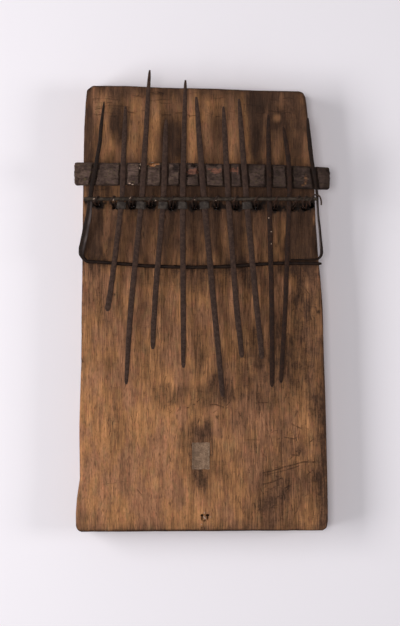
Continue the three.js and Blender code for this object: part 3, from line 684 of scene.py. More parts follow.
def swept(name, line, half_widths, half_heights, finish, upright=True, **inputs):
    """A bar of changing section along a line of points."""
    count = len(line)
    piece = mesh_object(name, line, [], [(i, i + 1) for i in range(count - 1)])
    for label, sizes in {"half_width": half_widths, "half_height": half_heights}.items():
        add_attribute(piece, label, "FLOAT", "value", np.broadcast_to(sizes, count))
    named = {label.replace("_", " ").title(): value for label, value in inputs.items()}
    return run_tree(piece, SWEPT_BAR, named | {"Upright": upright, "Finish": finish})


# Board

# The mesh's steps over the top, round the walls and over the underside, and its levels in each edge and wall
BOARD_STEP = 0.78 * MM
WALL_STEP = 1.0 * MM
UNDERSIDE_STEP = 4 * MM
EDGE_STEPS = 5
WALL_LEVELS = 14
OUTLINE_RAYS = 2400
LID_SEED = 7

# Stains, and shadows painted beside the arms and tines and below the backrest, as they lie in the
# photograph:
# the pixel, half its width and height in pixels, and how dark it is
STAINS_AND_SHADOWS = {
    "whole": (200, 310, 900, 900, 0.10),
    "right half, lower": (292, 440, 75, 130, 0.26),
    "right half, middle": (310, 345, 70, 75, 0.29),
    "middle": (210, 330, 130, 75, 0.18),
    "left, middle": (92, 320, 26, 60, 0.13),
    "right strip": (331, 456, 17, 74, 0.6),
    "right strip, low": (316, 484, 18, 22, 0.18),
    "front edge, right": (276, 508, 24, 16, 0.2),
    "behind the bridge": (202, 225, 150, 46, 0.58),
    "behind 4 to 6": (200, 228, 36, 30, 0.08),
    "behind 1 and 2": (128, 232, 20, 26, 0.1),
    "rear end": (202, 120, 150, 90, 0.48),
    "round the knot": (277, 119, 9, 10, 0.16),
    "rear edge": (202, 86, 150, 12, 0.32),
    "rear right": (296, 140, 40, 90, 0.36),
    "rear left": (92, 130, 26, 70, 0.2),
    # Partly painted shade of the rounded left edge
    "left edge, rear": (84, 150, 10, 90, 0.35),
    "tips of 5 and 6": (220, 390, 17, 16, 0.33),
    # Partly tine 5's shadow painted in
    "right of 5": (216, 368, 7, 15, 0.26),
    "middle band": (190, 398, 36, 13, 0.27),
    "middle band, left": (166, 393, 22, 10, 0.2),
    "between 4 and 5": (199, 352, 7, 24, 0.32),
    "around the label": (199, 453, 19, 33, 0.62),
    "above the label": (200, 432, 14, 8, 0.12),
    "below the label": (199, 480, 9, 13, 0.34),
    "front right cloud": (270, 492, 24, 24, 0.3),
    "front right streak": (290, 470, 12, 30, 0.2),
    "left of middle": (115, 425, 8, 34, 0.24),
    "front left corner": (86, 522, 16, 12, 0.3),
    "front edge": (200, 534, 160, 12, 0.35),
    "before the bridge": (210, 278, 66, 15, 0.36),
    "right speckle": (306, 296, 15, 22, 0.34),
    # Beside the tines' rear ends behind the backrest: partly stains, partly the tines' shadows painted in
    "smudge and shadow by 2": (120, 124, 9, 20, 0.38),
    "smudge and shadow by 3": (170, 142, 13, 25, 0.4),
    "smudge and shadow by 6": (219, 130, 10, 12, 0.22),
    "smudge and shadow by 7": (257, 128, 9, 38, 0.3),
    # Partly the shade under the backrest's front edge, painted in
    "between the backrest and the bar": (200, 190, 150, 7, 0.2),
    # Partly tine 7's shadow painted in
    "top, right of 7": (256, 102, 12, 12, 0.3),
    # Painted shadow of the left arm, on the board to its right
    "arm's shadow, left": (95, 236, 12, 32, 0.62),
    "left, by 1": (99, 298, 9, 30, 0.22),
    # Painted shadow of the right arm, on the board to its left
    "arm's shadow, right": (303, 240, 15, 34, 0.7),
    "before the bridge, right": (302, 272, 20, 12, 0.36),
}

# Rubbed places, the same way, where the wood is lighter
RUBS = {
    "left, front": (92, 435, 14, 78, 0.22),
    "left of 1": (101, 112, 7, 24, 0.36),
    "right of 2": (137, 128, 8, 28, 0.3),
    "right of 3": (154, 132, 7, 34, 0.42),
    "right of 4": (192, 130, 7, 38, 0.42),
    "left of 6": (207, 125, 8, 26, 0.36),
    "right of 6": (233, 142, 6, 24, 0.34),
    "right of 7": (245, 138, 4, 30, 0.3),
    "knot": (277, 118, 3.6, 4, 0.4),
    "left of 9": (278, 146, 5, 20, 0.14),
    "right edge, rear": (306, 150, 3, 16, 0.4),
    "between 1 and 2": (127, 236, 5, 24, 0.28),
    "between 2 and 3": (147, 238, 5, 24, 0.3),
    "between 4 and 5, behind": (190, 236, 4, 24, 0.28),
    "between 5 and 6, behind": (224, 226, 4, 20, 0.26),
    "between 7 and 8": (256, 230, 6, 26, 0.34),
    "between 8 and 9": (279, 232, 7, 26, 0.42),
    "beside the arm": (104, 225, 5, 26, 0.22),
    "middle of the front": (165, 440, 40, 60, 0.08),
    "right, front": (302, 412, 12, 26, 0.18),
    "right of the middle": (264, 424, 14, 16, 0.2),
    "left of 9, front": (289, 312, 5, 26, 0.2),
    "between 7 and 8, front": (262, 318, 8, 30, 0.12),
}

# Small black marks and painted shade, the same way: the tines' shadows and the front edge's shade among them
BLACK_MARKS_AND_SHADE = {
    "tip of 5": (218, 390, 8, 9, 0.22),
    "hole by the left arm": (86.7, 201, 2.6, 2.6, 0.95),
    "pin hole, left": (114.5, 294.5, 1.4, 1.4, 0.9),
    "pin hole, right": (318.3, 312, 1.8, 1.8, 0.9),
    "pin hole, front": (217, 417, 1.3, 1.6, 0.8),
    "nick, left edge": (81.5, 361, 2.6, 2, 0.6),
    "torn spot, front": (204.8, 517.4, 4.6, 4.4, 0.25),
    "front notches": (203, 528, 3, 2, 0.4),
    # Partly painted shade of the rounded front edge
    "front edge line": (202, 531, 150, 1.8, 0.7),
    # Beside the tines' rear ends: partly black stains, partly the tines' shadows painted in
    "dark of 7": (256, 100, 9, 12, 0.4),
    "dark by 7": (257, 138, 8, 26, 0.24),
    "dark by 2": (120, 124, 9, 21, 0.22),
    "dark by 2, front": (111, 157, 5, 7, 0.3),
    "dark by 3": (169, 139, 13, 24, 0.24),
    "dark by 6": (219, 127, 9, 12, 0.16),
}

# Scratches: the pixels along each, half its width in pixels and how dark it is
SCRATCHES = [
    (((263, 473), (272, 471), (282, 468)), 0.8, 0.95),
    (((282, 467.5), (293, 465), (303, 462), (315, 462)), 0.7, 0.85),
    (((265, 475), (285, 470.5), (299, 466)), 0.6, 0.6),
    (((264, 484), (273, 482), (282, 478)), 0.7, 0.8),
    (((285, 488), (292, 484.5)), 0.6, 0.6),
    (((292, 424), (301, 428.5)), 0.6, 0.9),
    (((281.5, 430), (282, 450), (282, 467)), 0.4, 0.6),
    (((293, 455), (299, 455.5), (301, 450)), 0.8, 0.8),
    (((284, 437), (295, 439), (296, 434)), 0.7, 0.65),
    (((268, 432), (271, 438), (273, 445)), 0.5, 0.6),
    (((275, 430.5), (278, 430.5)), 0.6, 0.6),
    (((295, 435), (298, 443), (299, 454)), 0.7, 0.55),
    (((305, 437), (306, 445)), 0.5, 0.5),
    (((314, 470), (315, 476)), 0.6, 0.6),
    (((271, 489), (283, 483)), 0.6, 0.5),
    (((137, 489), (142, 495)), 0.5, 0.7),
    (((210, 405), (216, 404.5), (223, 407)), 0.6, 0.85),
    (((256, 403), (270, 402.5)), 0.5, 0.6),
    (((245, 439.6), (260, 440)), 0.5, 0.6),
    (((244, 425), (246, 429)), 0.6, 0.6),
    (((257, 397), (262, 414)), 0.4, 0.35),
    (((292, 398), (300, 404)), 0.5, 0.4),
    (((104, 484), (128, 481)), 0.4, 0.3),
    (((92, 99), (104, 98), (118, 100)), 0.5, 0.5),
    (((96, 107), (112, 105), (130, 107)), 0.5, 0.5),
    (((98, 112), (116, 113)), 0.4, 0.4),
    (((211, 99), (226, 97)), 0.5, 0.45),
    (((150, 101), (170, 99)), 0.4, 0.35),
    (((243, 104), (262, 106)), 0.5, 0.4),
    (((218, 120), (236, 119)), 0.4, 0.3),
    (((95, 190), (108, 189)), 0.5, 0.4),
]


# Where smaller marks crowd: the pixel box, how many, their lengths in pixels, and their least and greatest
# lean in degrees
MARK_ZONES = (
    ((236, 396, 300, 520), 46, (3, 8), (60, 120)),
    ((262, 420, 318, 500), 34, (2, 6), (0, 180)),
    ((168, 396, 236, 412), 16, (2, 5), (0, 50)),
    ((290, 272, 320, 330), 16, (2, 6), (50, 130)),
    ((90, 92, 170, 118), 20, (4, 12), (-8, 8)),
    ((180, 92, 300, 118), 18, (4, 12), (-8, 8)),
    ((84, 300, 230, 520), 40, (2, 6), (70, 110)),
    ((94, 205, 300, 258), 24, (2, 6), (70, 110)),
)


def small_marks():
    """Short nicks scattered over the crowded zones, in the form of the scratches."""
    chance = np.random.default_rng(12)
    made = []
    for (x0, y0, x1, y1), count, lengths, leans in MARK_ZONES:
        for _ in range(count):
            x, y = chance.uniform(x0, x1), chance.uniform(y0, y1)
            length, lean = chance.uniform(*lengths) / 2, math.radians(chance.uniform(*leans))
            run_x, run_y = math.cos(lean) * length, -math.sin(lean) * length
            bow = chance.uniform(-0.25, 0.25)
            pixels = ((x - run_x, y - run_y), (x - run_y * bow, y + run_x * bow), (x + run_x, y + run_y))
            made.append((pixels, chance.uniform(0.35, 0.6), chance.uniform(0.35, 0.75)))
    return made


MARKS = SCRATCHES + small_marks()


def mark_lines():
    """Each mark's places, half width and darkness."""
    for pixels, half_width, strength in MARKS:
        yield np.array([photo_spot(*pixel) for pixel in pixels]), half_width * PHOTO_STEP, strength


def mark_points(step=0.45 * MM):
    """Points along the marks and along both their edges, for the mesh to follow."""
    found = []
    for line, half_width, _ in mark_lines():
        for start, end in zip(line[:-1], line[1:]):
            run = end - start
            length = np.hypot(*run)
            shares = np.linspace(0, 1, max(round(length / step), 2), endpoint=False)[:, None]
            aside = np.array((-run[1], run[0])) / length * half_width
            for shift in (-1.25, 0, 1.25):
                found.append(start + run * shares + aside * shift)
    return np.concatenate(found)


# The torn spot with two nail holes at the front: each pit's pixel, its half sizes and its depth in
# millimetres
FRONT_PITS = (
    (202.2, 515.5, 0.8, 0.7, 3), (207.6, 515.2, 1.15, 0.8, 3.4),
    (202, 518.4, 0.65, 1.5, 0.9), (207.7, 517.8, 0.75, 1.4, 1.0),
    (204.4, 520.8, 1.4, 0.6, 0.8), (204.8, 514.6, 1.1, 0.35, 0.5),
    (201.9, 527.7, 0.5, 0.9, 0.5), (204.7, 528.3, 0.4, 0.6, 0.5),
)
TORN_SPOT = (204.8, 520)
TORN_REACH = 5.5 * MM


def spots(points, table, seed, roughen=0.27):
    """How strongly a table's spots lie on each point, their outlines broken up."""
    total = np.zeros(len(points))
    edge = lumps(points, (3.4 * MM, 12 * MM, 3.4 * MM), seed)
    edge += 0.5 * lumps(points, (1.1 * MM, 5 * MM, 1.1 * MM), seed + 1)
    for px, py, half_x, half_y, strength in table.values():
        x, y = photo_spot(px, py)
        across = (points[:, 0] - x) / (half_x * PHOTO_STEP)
        along = (points[:, 1] - y) / (half_y * PHOTO_STEP)
        total += strength * smooth(np.hypot(across, along) + roughen * edge, 1.5, 0.45)
    return total


def tine_shadow_and_dirt_bands(points):
    """Dark bands behind the bridge along the right of each tine: the tines' shadows painted in, and dirt."""
    aside = half_width = 3.4 * MM
    total = np.zeros(len(points))
    for number in TINES:
        start = JOINTS[f"tongue_{number}_pluck"]["pos_m"]
        heading = JOINTS[f"tine_{number}_tuning"]["axis"]
        middle = start[0] + (points[:, 1] - start[1]) * heading[0] / heading[1] + aside
        off = (points[:, 0] - middle) / half_width + 0.25 * lumps(points, 4 * MM, 50)
        total = np.maximum(total, smooth(np.abs(off), 1.15, 0.2))
    along = smooth(points[:, 1], 20 * MM, 44 * MM) * smooth(points[:, 1], 66 * MM, 60 * MM)
    return total * along


def scratch_depth(points):
    """How deep each point lies in a scratch or nick, from 0 to 1."""
    deepest = np.zeros(len(points))
    for line, half_width, strength in mark_lines():
        reach = np.ptp(line, axis=0) / 2 + 2 * MM
        near = np.flatnonzero((np.abs(points[:, :2] - line.mean(axis=0)) < reach).all(axis=1))
        flat = points[near, :2]
        for start, end in zip(line[:-1], line[1:]):
            run = end - start
            share = np.clip((flat - start) @ run / (run @ run), 0, 1)
            gap = np.hypot(*(flat - start - share[:, None] * run).T)
            depth = strength * smooth(gap, half_width * 1.25, half_width * 0.3)
            deepest[near] = np.maximum(deepest[near], depth)
    return deepest


def board_outline():
    """The CAD board's outline at half its height, as points at even steps, and the directions out of it."""
    tree = BVHTree.FromObject(frame["nodes"]["board"], bpy.context.evaluated_depsgraph_get())
    middle = BOARD_TOP / 2
    found = []
    for angle in np.linspace(0, 2 * math.pi, OUTLINE_RAYS, endpoint=False):
        out = Vector((math.cos(angle), math.sin(angle), 0))
        hit = tree.ray_cast(out + Vector((0, 0, middle)), -out)[0]
        found.append(hit.xy)
    found = np.array(found)
    closed = np.vstack([found, found[:1]])
    travelled = np.concatenate([[0], np.cumsum(np.hypot(*np.diff(closed, axis=0).T))])
    stops = np.linspace(0, travelled[-1], round(travelled[-1] / WALL_STEP), endpoint=False)
    ring = np.stack([np.interp(stops, travelled, closed[:, axis]) for axis in (0, 1)], axis=1)
    along = np.roll(ring, -2, axis=0) - np.roll(ring, 2, axis=0)
    out = np.stack([along[:, 1], -along[:, 0]], axis=1)
    return ring, out / np.linalg.norm(out, axis=1)[:, None]


def board_walls(ring, out):
    """Rings from the bottom face to the top, rounded at both edges, the top one worn unevenly."""
    flat = np.column_stack([ring, np.zeros(len(ring))])
    worn = 1.1 * MM + 0.4 * MM * lumps(flat, 22 * MM, 3) + 0.3 * MM * lumps(flat, 6 * MM, 4)
    chips = smooth(lumps(flat, 3.5 * MM, 5), 0.62, 0.95) * 0.6 * MM
    top_edge = worn + chips + 0.2 * MM
    bottom_edge = np.full(len(ring), 1.4 * MM)
    levels = []
    for step in range(EDGE_STEPS):
        turn = step / EDGE_STEPS * math.pi / 2
        levels.append((bottom_edge * (1 - math.sin(turn)), bottom_edge * (1 - math.cos(turn))))
    for share in np.linspace(0, 1, WALL_LEVELS):
        levels.append((np.zeros(len(ring)), bottom_edge + (BOARD_TOP - top_edge - bottom_edge) * share))
    for step in range(1, EDGE_STEPS + 1):
        turn = step / EDGE_STEPS * math.pi / 2
        levels.append((top_edge * (1 - math.cos(turn)), BOARD_TOP - top_edge * (1 - math.sin(turn))))
    rings = []
    for inset, height in levels:
        rings.append(np.column_stack([ring - out * inset[:, None], height]))
    return rings


def lid(ring, step, seed, extra):
    """Points inside a ring, some extra ones among them, and the triangles that join them to it, in plan."""
    low, high = ring.min(axis=0), ring.max(axis=0)
    across, along = np.meshgrid(np.arange(low[0], high[0], step), np.arange(low[1], high[1], step))
    inner = np.column_stack([across.ravel(), along.ravel()])
    inner += np.random.default_rng(seed).uniform(-0.2, 0.2, inner.shape) * step
    inner = np.concatenate([inner, extra])
    count = len(ring)
    verts = [Vector(p) for p in ring] + [Vector(p) for p in inner]
    loop = [(i, (i + 1) % count) for i in range(count)]
    points, _, faces, sources, _, _ = delaunay_2d_cdt(verts, loop, [], 1, 1e-9)
    order = [source[0] if source else None for source in sources]
    return np.array([tuple(p) for p in points]), faces, order


def board_relief(points):
    """How far the top face lies below flat: hollows from planing, raised fibres, scratches and dents."""
    flat = points * (1, 1, 0)
    hollows = 0.10 * MM * (1 + lumps(flat, (9 * MM, 40 * MM, 1), 11))
    hollows += 0.08 * MM * (1 + lumps(flat, (26 * MM, 30 * MM, 1), 12))
    fibres = 0.035 * MM * (1 + lumps(flat, (1.7 * MM, 22 * MM, 1), 13))
    dents = 0.16 * MM * smooth(lumps(flat, (3.2 * MM, 4.4 * MM, 1), 14), 0.62, 0.95)
    hole = {"hole": BLACK_MARKS_AND_SHADE["hole by the left arm"]}
    deep = 0.9 * MM * smooth(spots(points, hole, 3, 0.1), 0.2, 0.9)
    notch = {"nick": BLACK_MARKS_AND_SHADE["nick, left edge"]}
    nick = 0.8 * MM * smooth(spots(points, notch, 3, 0.1), 0.1, 0.6)
    return hollows + fibres + dents + deep + nick + 0.35 * MM * scratch_depth(points)


def wall_faces(levels, sides):
    """The faces that join rings of points, level after level."""
    faces = []
    for level, i in itertools.product(range(levels - 1), range(sides)):
        a, b = level * sides + i, level * sides + (i + 1) % sides
        faces.append((a, b, b + sides, a + sides))
    return faces


def sheet_faces(columns, rows):
    """The faces of a sheet of points, row after row."""
    faces = []
    for j, i in itertools.product(range(rows), range(columns)):
        a = j * (columns + 1) + i
        faces.append((a, a + 1, a + columns + 2, a + columns + 1))
    return faces


def closed_tube(name, rings):
    """A solid from level rings of as many points each."""
    sides = len(rings[0])
    top = (len(rings) - 1) * sides
    ends = [tuple(reversed(range(sides))), tuple(range(top, top + sides))]
    return mesh_object(name, np.concatenate(rings), wall_faces(len(rings), sides) + ends)


def cutter(name, low, high, radius, x, y, sides=24):
    """An upright cylinder, to cut with."""
    turn = np.linspace(0, 2 * math.pi, sides, endpoint=False)
    plan = np.column_stack([x + np.cos(turn) * radius, y + np.sin(turn) * radius])
    return closed_tube(name, [np.column_stack([plan, np.full(sides, height)]) for height in (low, high)])


def pit(name, x, y, half_x, half_y, depth, seed, sides=28):
    """An uneven funnel with torn edges, to cut into the top face."""
    turn = np.linspace(0, 2 * math.pi, sides, endpoint=False)
    spoke = np.column_stack([np.cos(turn), np.sin(turn)])
    torn = 1 + 0.26 * lumps(np.column_stack([spoke * 1.1, np.full(sides, seed * 3.7)]), 1.0, 91)
    heights = (-depth, -depth * 0.55, -depth * 0.2, 0, 0.6 * MM)
    rings = []
    for height, share in zip(heights, (0.35, 0.75, 0.93, 1.06, 1.3)):
        plan = spoke * (half_x, half_y) * (share * torn)[:, None] + (x, y)
        rings.append(np.column_stack([plan, np.full(sides, BOARD_TOP + height)]))
    return closed_tube(name, rings)


def box_cutter(name, low, high):
    corners = list(itertools.product(*zip(low, high)))
    faces = [(0, 1, 3, 2), (4, 6, 7, 5), (0, 4, 5, 1), (2, 3, 7, 6), (0, 2, 6, 4), (1, 5, 7, 3)]
    return mesh_object(name, corners, faces)


def cut(piece, cutters):
    for tool in cutters:
        modifier = piece.modifiers.new(tool.name, "BOOLEAN")
        modifier.operation = "DIFFERENCE"
        modifier.solver = "MANIFOLD"
        modifier.object = tool
    settle(piece)
    for tool in cutters:
        bpy.data.objects.remove(tool)


def board_shell():
    """The plank with its rounded edges, before it is worn, drilled and stained."""
    rings = board_walls(*board_outline())
    count = len(rings[0])
    points = [p for level in rings for p in level]
    faces = wall_faces(len(rings), count)
    top = (len(rings) - 1, BOARD_STEP, BOARD_TOP, True, mark_points())
    bottom = (0, UNDERSIDE_STEP, 0.0, False, np.empty((0, 2)))
    for level, step, height, upward, extra in (top, bottom):
        plan, triangles, sources = lid(rings[level][:, :2], step, LID_SEED, extra)
        index = []
        for place, source in zip(plan, sources):
            if source is not None and source < count:
                index.append(level * count + source)
            else:
                index.append(len(points))
                points.append((place[0], place[1], height))
        for triangle in triangles:
            ordered = [index[i] for i in triangle]
            faces.append(tuple(ordered if upward else reversed(ordered)))
    return mesh_object("board", points, faces)


def wear_board(piece):
    """The relief of the top face, and walls that are a little uneven."""
    at = mesh_points(piece)
    above = smooth(at[:, 2], BOARD_TOP - 2.5 * MM, BOARD_TOP - 0.3 * MM)
    side = 1 - smooth(np.abs(at[:, 2] - BOARD_TOP / 2), BOARD_TOP / 2 - 2 * MM, BOARD_TOP / 2)
    at[:, 2] -= board_relief(at) * above
    wall = 0.12 * MM * (1 + lumps(at, (7 * MM, 16 * MM, 5 * MM), 21)) * side
    inward = np.column_stack([-at[:, 0], -at[:, 1] * 0.5, np.zeros(len(at))])
    at += unit(inward) * wall[:, None]
    set_points(piece, at)


# How much wider than its hole a worn mouth is, and the last one, which lies near the board's edge
MOUTH_SPREAD = 1.7
LAST_MOUTH_SPREAD = 1.25
MOUTH_DEPTH = 1.7 * MM


def board_cutters():
    """The lashing holes and their worn mouths, the pits at the front, and the groove underneath."""
    tools = []
    for i, (hole_x, _, hole_y) in enumerate(LASHINGS):
        last = i == len(LASHINGS) - 1
        low = CHOKED_DEPTH if last else -MM
        tools.append(cutter(f"hole {i}", low, BOARD_TOP + MM, HOLE_RADIUS, hole_x, hole_y))
        spread = LAST_MOUTH_SPREAD if last else MOUTH_SPREAD
        half_sizes = (HOLE_RADIUS * spread, HOLE_RADIUS * 1.15)
        shape = (hole_x + (spread - 1.2) * MM, hole_y, *half_sizes, MOUTH_DEPTH)
        tools.append(pit(f"mouth {i}", *shape, i))
    for i, (px, py, half_x, half_y, depth) in enumerate(FRONT_PITS):
        shape = (*photo_spot(px, py), half_x * MM, half_y * MM, depth * MM)
        tools.append(pit(f"front pit {i}", *shape, 40 + i))
    tools.append(box_cutter("groove", *GROOVE))
    return tools


def board_patina_and_shade(at, height):
    """How dark the patina and painted shade are: stains, painted shadows and rubs on top, the worn top edge
    with its painted shade, and the even walls.
    """
    dark = spots(at, STAINS_AND_SHADOWS, 41) - spots(at, RUBS, 43)
    dark += 0.08 * lumps(at, (5 * MM, 30 * MM, 5 * MM), 45)
    dark += 0.06 * lumps(at, (14 * MM, 16 * MM, 14 * MM), 46)
    # Painted tine shadows and dirt behind the bridge
    dark += 0.34 * tine_shadow_and_dirt_bands(at)
    top = smooth(height, -3 * MM, -0.8 * MM)
    dark = np.where(top > 0.5, dark, 0.55 + 0.2 * lumps(at, 12 * MM, 47))
    # Darker round the rounded top edge: partly worn patina, partly painted shade of the rounding
    edge = smooth(height, -0.15 * MM, -1.2 * MM) * smooth(height, -4 * MM, -MM)
    patches = 0.42 + 0.4 * lumps(at, (7 * MM, 9 * MM, 4 * MM), 51) + 0.25 * lumps(at, 2.4 * MM, 55)
    return dark + edge * np.clip(patches, 0, 1)


def board_black_marks_and_shade(at, height):
    """How black the wood is: small marks and painted shade, scratches, round the lashings with their painted
    shadows, painted shade in the holes, and the torn spot.
    """
    soot_and_shade = spots(at, BLACK_MARKS_AND_SHADE, 49, 0.2)
    soot_and_shade += 0.8 * scratch_depth(at) * (0.75 + 0.5 * lumps(at, 1.5 * MM, 54))
    ragged = 0.5 * lumps(at, (1.0 * MM, 2.4 * MM, 1.0 * MM), 52) + 0.3 * lumps(at, 0.7 * MM, 53)
    # Round each lashing, shifted to the right: dirt with the wires' shadows painted in
    for x, _, y in LASHINGS:
        across = np.abs(at[:, 0] - x - 0.9 * MM) / (3.5 * MM)
        along = np.abs(at[:, 1] - y - 0.5 * MM) / (2.2 * MM)
        soot_and_shade += 0.95 * smooth((across ** 3 + along ** 3) ** (1 / 3) + ragged, 1.25, 0.75)
    soot_and_shade *= smooth(height, -3.5 * MM, -0.8 * MM)
    # Black down inside the holes: painted shade
    mouth = smooth(height, -2 * MM, -0.8 * MM)
    for x, _, y in LASHINGS:
        inside = np.hypot(at[:, 0] - x, at[:, 1] - y) < HOLE_RADIUS * (1.2 + 0.6 * mouth)
        soot_and_shade += inside * (1 - mouth)
    x, y = photo_spot(*TORN_SPOT)
    torn = np.hypot(at[:, 0] - x, at[:, 1] - y) < TORN_REACH
    return soot_and_shade + torn * 0.62 * smooth(height, -0.35 * MM, -0.9 * MM)


def board():
    piece = board_shell()
    wear_board(piece)
    cut(piece, board_cutters())
    at = mesh_points(piece)
    height = at[:, 2] - BOARD_TOP
    knot = 0.5 * spots(at, {"knot": RUBS["knot"]}, 48)
    behind_bridge = smooth(at[:, 1], 18 * MM, 28 * MM)
    paint(piece, "marks", board_patina_and_shade(at, height), knot, board_black_marks_and_shade(at, height), 1 - 0.55 * behind_bridge)
    return finish_piece(piece, board_wood(), "board", "board_wood", "board", smooth_angle=math.radians(50))


# Lashings: the places of the holes and wraps, as the CAD has them

HALF_WIDTH = 65 * MM
WIRE_RADIUS = 0.4 * MM
WIRE_ROOM = 0.3 * MM
STRAND_OFFSET = WIRE_RADIUS + 0.22 * MM
HOLE_RADIUS = STRAND_OFFSET + WIRE_RADIUS + WIRE_ROOM
HOLE_ROW_Y = BAR_Y - 3.7 * MM
WRAP_RADIUS = BAR_RADIUS + WIRE_RADIUS + 0.05 * MM
WRAP_SPREAD = 1.3 * MM
WRAP_POINTS = 19
STITCH_Z = 1 * MM + WIRE_RADIUS
STITCH_BEND = 1 * MM
STITCH_BEND_STEPS = 3
WIRE_TAIL = 4 * MM
GROOVE_WIDTH = 5 * MM
GROOVE_DEPTH = 2.4 * MM

# How far up from the underside the last hole is choked with dirt
CHOKED_DEPTH = 4 * MM

# Each lashing: its hole and its wrap as shares of half the board's width, and how far forward it is in wire
# diameters
LASHING_SHARES = (
    (-0.832, -0.835, -1.1), (-0.697, -0.709, 0), (-0.561, -0.558, 0),
    (-0.41, -0.402, -0.3), (-0.243, -0.236, 0.6), (-0.06, -0.061, 0.6),
    (0.114, 0.111, 0.3), (0.265, 0.267, 0.6), (0.43, 0.433, 0.3),
    (0.585, 0.593, 1.2), (0.712, 0.756, 1.2), (0.816, 0.813, 0.9),
    (0.869, 0.868, -0.7),
)
LASHINGS = [
    (hole * HALF_WIDTH, wrap * HALF_WIDTH, HOLE_ROW_Y - forward * 2 * WIRE_RADIUS)
    for hole, wrap, forward in LASHING_SHARES
]

# The loose end leaves the last wrap that many points before its end. Its places: across, as shares of half
# the board's width, and along and up, as shares of its radius about the bar
LOOSE_END_LEAVES = 6
LOOSE_END_SHARES = (
    (0.884, 1.25, 0.2), (0.899, 1.3, 0.5), (0.916, 1.25, 0.6), (0.93, 0.75, 0.45), (0.939, -0.1, 0.2),
    (0.943, -1.1, 0), (0.943, -2, -0.2),
)

# The groove that hides the stitches: its lowest and highest corner
GROOVE_START = LASHINGS[0][0] - STRAND_OFFSET - WIRE_TAIL - WIRE_ROOM
GROOVE_Y = HOLE_ROW_Y - WIRE_RADIUS
GROOVE = (
    (GROOVE_START, GROOVE_Y - GROOVE_WIDTH / 2, -MM),
    (LASHINGS[-1][0], GROOVE_Y + GROOVE_WIDTH / 2, GROOVE_DEPTH),
)


def wire_bend(x, y, side):
    """A quarter turn between a stitch under the board and a hole."""
    bend = []
    for step in range(STITCH_BEND_STEPS + 1):
        turn = step / STITCH_BEND_STEPS * math.pi / 2
        across, up = (1 - math.sin(turn)) * STITCH_BEND * side, (1 - math.cos(turn)) * STITCH_BEND
        bend.append((x + across, y, STITCH_Z + up))
    return bend


def wire_wrap(hole_x, wrap_x, hole_y, radius):
    """Up out of the hole, over the bar and back down, in one turn that spreads to both sides."""
    rise, back = BAR_Z - BOARD_TOP, BAR_Y - hole_y
    bearing = math.atan2(rise, back)
    spread = math.asin(radius / math.hypot(rise, back))
    start, sweep = bearing + math.pi / 2 + spread, math.pi + spread * 2
    turn = []
    for share in np.linspace(0, 1, WRAP_POINTS):
        angle = start - sweep * share
        x = wrap_x + WRAP_SPREAD * (share * 2 - 1)
        turn.append((x, BAR_Y + math.cos(angle) * radius, BAR_Z + math.sin(angle) * radius))
    mouths = [(hole_x + side * STRAND_OFFSET, hole_y, BOARD_TOP) for side in (-1, 1)]
    return [mouths[0], *turn, mouths[1]]


def wire_line():
    """The line through the wire's middle, from its end under the first hole to the loose end."""
    first_x, _, first_y = LASHINGS[0]
    line = [(first_x - STRAND_OFFSET - WIRE_TAIL, first_y, STITCH_Z)]
    for i, (hole_x, wrap_x, hole_y) in enumerate(LASHINGS):
        line += wire_bend(hole_x - STRAND_OFFSET, hole_y, -1)
        wrap = wire_wrap(hole_x, wrap_x, hole_y, WRAP_RADIUS)
        if i < len(LASHINGS) - 1:
            line += wrap + wire_bend(hole_x + STRAND_OFFSET, hole_y, 1)[::-1]
        else:
            line += wrap[:-LOOSE_END_LEAVES]
    radius = BAR_RADIUS + WIRE_ROOM + WIRE_RADIUS
    for across, along, up in LOOSE_END_SHARES:
        line.append((across * HALF_WIDTH, BAR_Y + along * radius, BAR_Z + up * radius))
    return np.array(line)


def lashing_wire(finish):
    piece = swept(
        "lashing_wire", wire_line(), WIRE_RADIUS, WIRE_RADIUS, finish,
        sides=10, step=0.5 * MM, squareness=2.0, hammering=0.03 * MM, lump_size=1.5 * MM, seed=4.0,
        upright=False,
    )
    return finish_piece(piece, finish, "board", "lashing_wire", "lashing_wire")


# Tines: one unbroken strip each, through the hinge that splits it in the frame

# The steps between sections, how near the split none is taken, and how far the bend reaches on each side
TINE_STEP = 1.5 * MM
SPLIT_ROOM = 0.4 * MM

# The middles of the two iron bends, from the near corner of each solid's box
BRIDGE_BEND = (8 * MM, 9 * MM)
ARM_BEND = (-4.5 * MM, 5.5 * MM)


def tine(number, finish):
    held, tongue = f"tine_{number}", f"tongue_{number}"
    rear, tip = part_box(held)[1].y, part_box(tongue)[0].y
    hinge = Vector(JOINTS[f"tongue_{number}_pluck"]["pos_m"])
    stops = stops_between(rear, tip, TINE_STEP)
    stops = stops[np.abs(stops - hinge.y) > SPLIT_ROOM]
    line, halves = sections((held, tongue), 1, stops)
    free = smooth(line[:, 1], 12 * MM, 2 * MM) + smooth(line[:, 1], 78 * MM, 88 * MM)
    line[:, 0] += 0.12 * MM * free * lumps(line, 14 * MM, 60 + number)
    line[:, 2] += 0.15 * MM * free * lumps(line, 17 * MM, 80 + number)
    swell = 1 + 0.05 * lumps(line, 9 * MM, 100 + number) * np.clip(free + 0.3, 0, 1)
    piece = swept(
        held, line, halves[:, 0] * swell, halves[:, 1], finish,
        sides=20, step=0.7 * MM, squareness=3.2, hammering=0.045 * MM, lump_size=3.5 * MM,
        seed=float(number),
    )
    finish_piece(piece, finish, None, "tine_iron", held, tongue)
    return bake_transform(piece)


